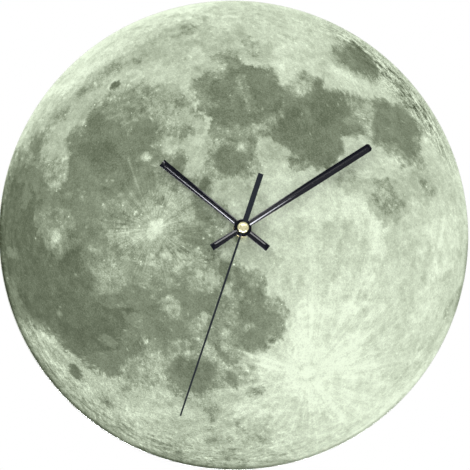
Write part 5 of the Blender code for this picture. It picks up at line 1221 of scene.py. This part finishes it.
# %% [markdown]
# ## Brass at the middle
# A brass washer and a hexagonal nut clamp the dial from the front, and the nut runs on the thread
# of the brass tube. A thin domed cap holds the second hand on its pin. Brass gets its look from its
# colour, which tints the reflections, and from tiny scratches that break them up.

# %% Brass
def brass(name, colour, speckle, metallic, roughness):
    """Fine scratches over a colour with darker spots. The small cap is paler than the rest."""
    finish = Finish(name)
    fine = finish.grain(1600, 4)
    spots = finish.between(0.52, 0.68, finish.grain(700, 2))
    return finish.surface(
        Base_Color=finish.mix(spots * speckle, colour, [v * 0.45 for v in colour]), Metallic=metallic,
        Roughness=roughness + 0.22 * fine, Normal=finish.bump(fine, 0.00003, 0.5))


BRASS = brass("brass", screen(150, 138, 100), speckle=0.5, metallic=1.0, roughness=0.5)
CAP_BRASS = brass("brass_cap", screen(216, 210, 164), speckle=0.8, metallic=0.3, roughness=0.10)

# %% Washer and nut
def washer(name, node, outer, ease, finish, slot):
    """A flat ring round the tube, as thick as the solid that it stands for."""
    outline = eased(ring_outline(HOLE, outer, *depth(node)), ease)
    dress(solid(name, *lathe(outline, 72)), finish, "clock_body", slot, node)


washer("washer_brass", "flat_washer", outer=5.5, ease=0.1, finish=BRASS, slot="brass")


def hexagon(back, front, flat, bore, chamfer, sides=96):
    """A nut: its radius follows six flats, and a cone cuts the corners off at both faces."""
    angle = np.arange(sides) * 2 * np.pi / sides
    off = (angle + np.pi / 6) % (np.pi / 3) - np.pi / 6
    full = flat / np.cos(off)
    cut = chamfer * (full / flat - 1) / (1 / np.cos(np.pi / 6) - 1)
    turned = np.minimum(full, flat * 0.985)
    inner, low, high = (np.full(sides, v) for v in (bore, back, front))
    radii = np.stack((inner, turned, full, full, turned, inner))
    heights = np.stack((low, low, back + cut, front - cut, high, high))
    points = np.stack((radii * np.sin(angle), radii * np.cos(angle), heights), -1)
    return points, [grid_faces(len(radii), sides, close_rows=True)]


nut = solid("nut_brass", *hexagon(*depth("hex_nut"), flat=4.75, bore=4.1, chamfer=0.6), crease=20)
dress(nut, BRASS, "clock_body", "brass", "hex_nut")

# %% [markdown]
# A screw thread is the same grid again. The radius falls and rises once for each turn, and the
# place of the groove also moves on by one pitch as the angle goes once round.

# %% Threaded tube
def threaded(back, front, radius, bore, flange, pitch, groove, sides=48):
    """The radius dips by a V that depends on height divided by pitch, plus the share of a turn."""
    seat = back + 1.0                     # the flange is a millimetre thick
    rows = int((front - seat) / pitch * 8)
    out = np.array((back, back, seat, seat, *np.linspace(seat + 0.05, front - 0.25, rows), front, front))
    angle = np.arange(sides) * 2 * np.pi / sides
    turn = out[:, None] / pitch + angle / (2 * np.pi)
    dip = np.abs(turn % 1 - 0.5) * 2
    wide = radius - groove * (1 - dip)
    wide[[0, -1]] = bore
    wide[[1, 2]] = flange
    wide[3], wide[-2] = radius, radius - 0.3
    heights = np.repeat(out[:, None], sides, 1)
    points = np.stack((wide * np.sin(angle), wide * np.cos(angle), heights), -1)
    return points, [grid_faces(len(out), sides, close_rows=True)]


shape = threaded(*depth("threaded_tube"), radius=4.0, bore=2.6, flange=5.5, pitch=0.75, groove=0.35)
tube = solid("tube_with_thread", *shape, crease=60)
dress(tube, BRASS, "clock_body", "brass", "threaded_tube")

# %% Domed cap
back, front = depth("second_hand_cap")
seat = front - 1.8
dome = np.linspace(0.06, 1, 9)
# radius and height along the dome, round its edge, and down and up the shank that grips the pin
outline = np.concatenate((
    np.stack((2.9 * dome, front - 0.25 * dome ** 2), 1),
    [(3.3, front - 0.42), (3.52, front - 0.7), (3.6, front - 1.1), (3.6, seat + 0.05), (3.55, seat)],
    [(1.3, seat), (1.3, back), (0.6, back), (0.6, back + 0.9), (0.06, back + 0.9)]))
cap = solid("cap_domed", *lathe(outline, 72, closed=False))
dress(cap, CAP_BRASS, "second_hand_arbor", "brass", "second_hand_cap")

# %% Rubber washer
def rubber():
    """Dull black, with a grain in its colour, its gloss and its relief."""
    finish = Finish("rubber")
    grain = finish.grain(1500, 3)
    return finish.surface(Base_Color=finish.mix(grain, screen(30, 30, 31), screen(46, 46, 46)),
                          Roughness=0.7 + 0.2 * grain, Normal=finish.bump(grain, 0.00005, 0.5))


washer("washer_rubber", "rubber_washer", outer=8.0, ease=0.25, finish=rubber(), slot="rubber")

# %% [markdown]
# ## The movement
# Behind the dial hangs a moulded box. Black ABS comes out of a spark-eroded mould with a fine even
# grain, so its gloss is broken up at the scale of a few tenths of a millimetre. The solids of the
# case and its cover already have their real shapes, so they stay, and only their finish is made.

# %% Moulded plastics
BLACKS = screen(24, 24, 26), screen(32, 32, 34)
WHITES = screen(214, 212, 204), screen(226, 225, 218)


def moulding(name, colours):
    """What all mouldings share: a fine grain from the mould and a cloudy colour from the flow."""
    finish = Finish(name)
    return finish, finish.grain(2600, 2), finish.mix(finish.grain(45, 3), *colours)


def moulded(name, colours, roughness):
    """A moulding with nothing on its faces but the grain."""
    finish, grain, colour = moulding(name, colours)
    return finish.surface(Base_Color=colour, Roughness=roughness + 0.14 * grain,
                          Normal=finish.bump(grain, 0.00004, 0.6))


CASE_BLACK = moulded("movement_plastic", BLACKS, roughness=0.42)
WHEEL_WHITE = moulded("white_plastic", WHITES, roughness=0.34)

# %% [markdown]
# The cover carries what the mould pressed into it: a groove inside its edge, two arrows round the
# knob, a sign at each end of the cell and the round marks of the pins that push it out of the mould.
# Each is a distance worked out in the plane of the cover, and a bump turns the distances into relief.
# The raised marks get a painted highlight in lighter grey, and the sunk ones a painted shade near black.

# %% Shapes in the plane of the cover, in millimetres
def within(distance, edge=0.08):
    """1 where a distance is below zero and 0 where it is above, with a narrow slope between."""
    return 1 - distance.finish.between(-edge, edge, distance)


def bar(right, up, middle, half):
    """A rectangle: the larger of the distances past its sides."""
    return within(((right - middle[0]).size() - half[0]).over((up - middle[1]).size() - half[1]))


def frame_line(right, up, middle, half, corner, line):
    """A line of a given half width along a rectangle with round corners."""
    past = [(v - m).size() - (h - corner) for v, m, h in zip((right, up), middle, half)]
    outside = (past[0].over(0.0) ** 2 + past[1].over(0.0) ** 2) ** 0.5
    inside = past[0].over(past[1]).under(0.0)
    return within((outside + inside - corner).size() - line)


def arrow(right, up, middle, radius, side):
    """Part of a ring on one side of the knob, and a pointed head at its upper end."""
    across, along = (right - middle[0]) * side, up - middle[1]
    ring = ((across ** 2 + along ** 2) ** 0.5 - radius).size() - 0.3
    arc = within(ring.over(4.4 - across).over(along.size() - 0.9 * radius))
    east, north = 0.56, 0.83              # the direction from the knob to the arrow's head
    off, past = across - east * radius, along - north * radius
    ahead = off * -north + past * east
    aside = (off * east + past * north).size()
    return arc.over(within((-0.4 - ahead).over(aside * 1.5 + ahead - 1.7)))


# %% Cover finish
PIN_MARKS = (-18.0, 21.0), (18.0, 21.0), (-18.0, 1.0), (18.0, 1.0), (0.0, -1.5)
PIN_RADIUS = 1.9
KNOB, ARROW_RADIUS = (0.0, 16.8), 8.2
SIGN_LEVEL, SIGN_SIDE = -7.2, 22.0


def cover_finish():
    """Black plastic like the case, with raised signs and arrows and sunk lines on its rear face."""
    finish, grain, black = moulding("cover_plastic", BLACKS)
    right, back, up = (part * 1000.0 for part in finish.split(finish.place()))
    arrows = [arrow(right, up, KNOB, ARROW_RADIUS, side) for side in (1.0, -1.0)]
    raised = arrows[0].over(arrows[1])
    for x, half in ((SIGN_SIDE, (1.7, 0.35)), (SIGN_SIDE, (0.35, 1.7)), (-SIGN_SIDE, (1.7, 0.35))):
        raised = raised.over(bar(right, up, (x, SIGN_LEVEL), half))
    sunk = frame_line(right, up, middle=(0.0, 8.0), half=(25.6, 17.6), corner=2.0, line=0.22)
    for x, z in PIN_MARKS:
        off = ((right - x) ** 2 + (up - z) ** 2) ** 0.5 - PIN_RADIUS
        sunk = sunk.over(within(off.size() - 0.12))
    rear = finish.between(-0.2, -0.1, back)
    height = grain * 0.08 + (raised - 0.8 * sunk) * rear
    # painted highlight: raised marks are coloured a lighter grey; painted shade: sunk lines and pin marks
    # near black
    painted_highlight_on_marks = finish.mix(raised * rear * 0.8, black, screen(66, 66, 69))
    return finish.surface(
        Base_Color=finish.mix(sunk * rear * 0.8, painted_highlight_on_marks, screen(11, 11, 12)),
        Roughness=0.42 + 0.14 * grain - 0.14 * (raised * rear), Normal=finish.bump(height, 0.0003))


# %% Metals
def sheet_metal(name, colour, roughness, brushed):
    """Rolled metal: fine lines along X from noise that is stretched there, over a cloudy gloss."""
    finish = Finish(name)
    stretched = finish.node("ShaderNodeMapping", None, {
        "Vector": finish.place(), "Scale": (60.0, 3000.0, 3000.0)})
    lines = finish.node("ShaderNodeTexNoise", None, {"Vector": stretched, "Scale": 1.0, "Detail": 2.0})
    cloud = finish.grain(120, 3)
    return finish.surface(
        Base_Color=finish.mix(cloud, colour, [v * 0.8 for v in colour]), Metallic=1.0,
        Roughness=roughness + 0.1 * cloud + brushed * lines, Normal=finish.bump(lines, 0.00001, 0.4))


STEEL = sheet_metal("plated_steel", screen(196, 198, 200), roughness=0.26, brushed=0.18)
SPRING = sheet_metal("contact_strip", screen(205, 200, 186), roughness=0.22, brushed=0.1)
CELL_METAL = sheet_metal("cell_metal", screen(200, 201, 203), roughness=0.2, brushed=0.1)
SOFT_IRON = sheet_metal("soft_iron", screen(150, 150, 152), roughness=0.34, brushed=0.2)


# %% Small parts inside
def plain(name, colour, roughness):
    """A dull surface with a fine grain that lightens it by up to a third."""
    finish = Finish(name)
    grain = finish.grain(900, 3)
    return finish.surface(Base_Color=finish.mix(grain, colour, [v * 1.35 for v in colour]),
                          Roughness=roughness + 0.1 * grain, Normal=finish.bump(grain, 0.00002, 0.4))


FERRITE = plain("ferrite", screen(58, 58, 62), roughness=0.5)
BOARD = plain("board", screen(146, 104, 58), roughness=0.45)
EPOXY = plain("epoxy", screen(20, 20, 22), roughness=0.25)


def copper():
    """Enamelled wire: fine bands across the bobbin at the pitch of the wire, as relief and as painted
    shade.
    """
    finish = Finish("copper_wire")
    turns = finish.node("ShaderNodeTexWave", {"wave_type": "BANDS", "bands_direction": "X"},
                        {"Vector": finish.place(), "Scale": 2500.0, "Distortion": 0.4})
    # painted shade: each turn's crown is coloured lighter and the groove between turns darker
    return finish.surface(
        Base_Color=finish.mix(turns, screen(150, 82, 46), screen(196, 122, 78)), Metallic=1.0,
        Roughness=0.3 + 0.1 * turns, Normal=finish.bump(turns, 0.00004))


# %% Which solid gets which finish
CARRIED_OVER = {
    CASE_BLACK: ("front_case", "setting_knob"), cover_finish(): ("back_cover",),
    WHEEL_WHITE: ("fifth_wheel", "third_wheel", "second_wheel", "minute_wheel", "intermediate_wheel",
                  "hour_wheel", "rotor_pinion", "train_bridge", "coil_bobbin"),
    STEEL: ("hanger",), SPRING: ("contact_positive", "contact_negative", "quartz_crystal"),
    SOFT_IRON: ("stator", "coil_core"), FERRITE: ("rotor_magnet",), BOARD: ("circuit_board",),
    EPOXY: ("chip",), copper(): ("coil_winding",)}
for finish, nodes in CARRIED_OVER.items():
    for node in nodes:
        slots = bpy.data.objects[node].material_slots
        for slot in slots:
            slot.material = finish
        if not slots:
            bpy.data.objects[node].data.materials.append(finish)
        print(node, "has", finish.name)

# %% [markdown]
# ## The cell
# One AA cell drives the clock for about two years. The steel can shows at both ends. Round it is a
# shrunk plastic sleeve, here a plain two-colour one, with a plus near the tip and a minus near the base.

# %% Turn something along X
def lying(points, middle):
    """A piece turned about the out direction, laid down so that its height runs to the right."""
    right, up, out = np.moveaxis(points, -1, 0)
    return np.stack((out + middle[0], up + middle[1], right + middle[2]), -1)


low, high = (np.array(corner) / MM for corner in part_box("cell_sleeve"))
CELL_MIDDLE = (0.0, (low[2] + high[2]) / 2, -(low[1] + high[1]) / 2)
END = 25.25
can = [(0.05, END), (2.7, END), (2.7, 24.05), (6.15, 24.05), (6.85, 23.35), (6.85, -24.2), (6.15, -24.9),
       (4.5, -24.9), (4.5, -END), (0.05, -END)]
points, faces = lathe(eased(can, 0.25, closed=False), 72, closed=False)
steel_can = solid("cell_steel", lying(points, CELL_MIDDLE), faces)
dress(steel_can, CELL_METAL, "cell", "cell_metal", "cell_can")


# %% Sleeve finish
def sleeve_finish():
    """Green over two thirds of the length and silver-grey at the tip, a ring between, and two signs."""
    finish = Finish("cell_sleeve")
    right, _, up = (part * 1000.0 for part in finish.split(finish.place()))
    grain = finish.grain(500, 3)
    tip_end = finish.between(10.8, 11.0, right)
    ring = tip_end * (1 - finish.between(12.2, 12.4, right))
    level, upright, flat = float(CELL_MIDDLE[1]), (0.4, 1.6), (1.6, 0.4)
    plus = bar(right, up, (17.5, level), flat).over(bar(right, up, (17.5, level), upright))
    minus = bar(right, up, (-20.5, level), upright)
    colour = finish.mix(grain, screen(34, 92, 58), screen(40, 104, 66))
    for share, ink in ((tip_end, screen(186, 190, 188)), (ring, screen(24, 30, 27)),
                       (plus, screen(30, 34, 32)), (minus, screen(206, 210, 206))):
        colour = finish.mix(share, colour, ink)
    return finish.surface(Base_Color=colour, Roughness=0.24 + 0.1 * grain, Coat_Weight=0.4,
                          Coat_Roughness=0.1, Normal=finish.bump(grain, 0.00001, 0.3))


sleeve = [(6.4, 24.4), (7.1, 23.7), (7.1, -24.55), (6.4, -END), (5.6, -END), (5.6, -25.0), (6.15, -25.0),
          (6.85, -24.3), (6.85, 23.45), (6.15, 24.15), (5.6, 24.15), (5.6, 24.4)]
points, faces = lathe(eased(sleeve, 0.1, 2), 72)
wrap = solid("cell_wrap", lying(points, CELL_MIDDLE), faces)
dress(wrap, sleeve_finish(), "cell", "cell_sleeve", "cell_sleeve")

# %% [markdown]
# ## Floor, light and camera
# The clock hangs over a pale floor in a white studio. The studio's walls give an even light from
# all round, which suits a print. Glossy black needs the opposite: it looks black only where it
# mirrors something dark, and it flashes where it mirrors a lamp. So the walls count for less in
# reflections, and one long lamp hangs where the ribs of the hands send the camera's sight line.

# %% Floor
HALF, LEVEL = 6.0, -0.75                  # metres: half a side of the floor, and how far down it lies
ground = bpy.data.meshes.new("studio_floor")
ground.from_pydata([(x * HALF, y * HALF, LEVEL) for x, y in ((-1, -1), (1, -1), (1, 1), (-1, 1))],
                   [], [(0, 1, 2, 3)])
floor = bpy.data.objects.new("studio_floor", ground)
bpy.context.scene.collection.objects.link(floor)
pale = Finish("pale_floor")
cloud = pale.grain(3, 2)
ground.materials.append(pale.surface(
    Base_Color=pale.mix(cloud, screen(238, 238, 236), screen(243, 243, 242)), Roughness=0.8))

# %% Camera
MIDDLE = Vector((DISC_MIDDLE[0] * MM, -depth("dial_film")[1] * MM, DISC_MIDDLE[1] * MM))
WIDE = 0.29936                            # what the frame takes in at the disc's face
DISTANCE = 2.6
LEFT, BELOW = np.radians((4.0, 4.0))
towards = Vector((-np.sin(LEFT) * np.cos(BELOW), -np.cos(LEFT) * np.cos(BELOW), -np.sin(BELOW)))
camera_data = bpy.data.cameras.new("camera")
camera_data.lens = camera_data.sensor_width * DISTANCE / WIDE
camera = bpy.data.objects.new("camera", camera_data)
bpy.context.scene.collection.objects.link(camera)
aim = MIDDLE + Vector((0.0003, 0, -0.00045))   # the disc isn't quite in the middle of the picture
camera.location = aim + towards * DISTANCE
camera.rotation_euler = (-towards).to_track_quat("-Z", "Y").to_euler()
bpy.context.scene.camera = camera
bpy.context.scene.view_settings.view_transform = "Standard"
print("lens:", round(camera_data.lens), "mm at", DISTANCE, "m")

# %% White studio
WALLS, WALLS_MIRRORED = 0.93, 0.16        # how bright they are as a lamp, and in reflections
studio = bpy.data.worlds.new("studio")
studio.use_nodes = True
bpy.context.scene.world = studio
net = studio.node_tree
path = net.nodes.new("ShaderNodeLightPath")
dimmed = net.nodes.new("ShaderNodeMapRange")
dimmed.inputs["To Min"].default_value, dimmed.inputs["To Max"].default_value = WALLS, WALLS_MIRRORED
net.links.new(path.outputs["Is Glossy Ray"], dimmed.inputs["Value"])
seen = net.nodes.new("ShaderNodeMath")
seen.operation = "MAXIMUM"
net.links.new(dimmed.outputs[0], seen.inputs[0])
net.links.new(path.outputs["Is Camera Ray"], seen.inputs[1])
backdrop = net.nodes["Background"]
backdrop.inputs["Color"].default_value = (1.0, 1.0, 1.0, 1.0)
net.links.new(seen.outputs[0], backdrop.inputs["Strength"])


# %% Lamps
def lamp(name, place, aim, size, power, diffuse=True):
    """A soft rectangular lamp, given by its place, what it points at, its two sides and its power."""
    data = bpy.data.lights.new(name, "AREA")
    data.shape, data.size, data.size_y, data.energy = "RECTANGLE", *size, power
    made = bpy.data.objects.new(name, data)
    bpy.context.scene.collection.objects.link(made)
    made.location = place
    made.rotation_euler = (Vector(aim) - Vector(place)).to_track_quat("-Z", "Y").to_euler()
    made.visible_diffuse = diffuse
    made.visible_camera = False
    return made


def mirrored(slope, degrees):
    """Where a facet that leans by a slope towards an angle from twelve sends the sight line."""
    lean, turn = np.radians((slope, degrees))
    normal = Vector((np.sin(lean) * np.sin(turn), -np.cos(lean), np.sin(lean) * np.cos(turn)))
    return 2 * normal.dot(towards) * normal - towards


FACET = 22.8                              # degrees: the slope of most of the rib's side
for hand, side in (("hour_hand", -90), ("minute_hand", 90)):
    to = mirrored(FACET, HANDS[hand]["angle"] + side)
    print(hand, "sends it to", [round(float(v / -to[1]), 2) for v in to])
lamp("key", place=(-0.9, -1.6, 1.0), aim=MIDDLE, size=(1.2, 1.2), power=9.0)
strip = lamp("hand_strip", place=(-0.085, -0.5, -0.33), aim=(-0.085, 0, -0.06), size=(0.74, 0.22),
             power=30.0, diffuse=False)
strip.data.color = (0.92, 0.93, 1.0)
lamp("tail_strip", place=(0.043, -0.5, 0.145), aim=(0.043, 0, 0), size=(0.26, 0.05),
     power=0.6, diffuse=False)
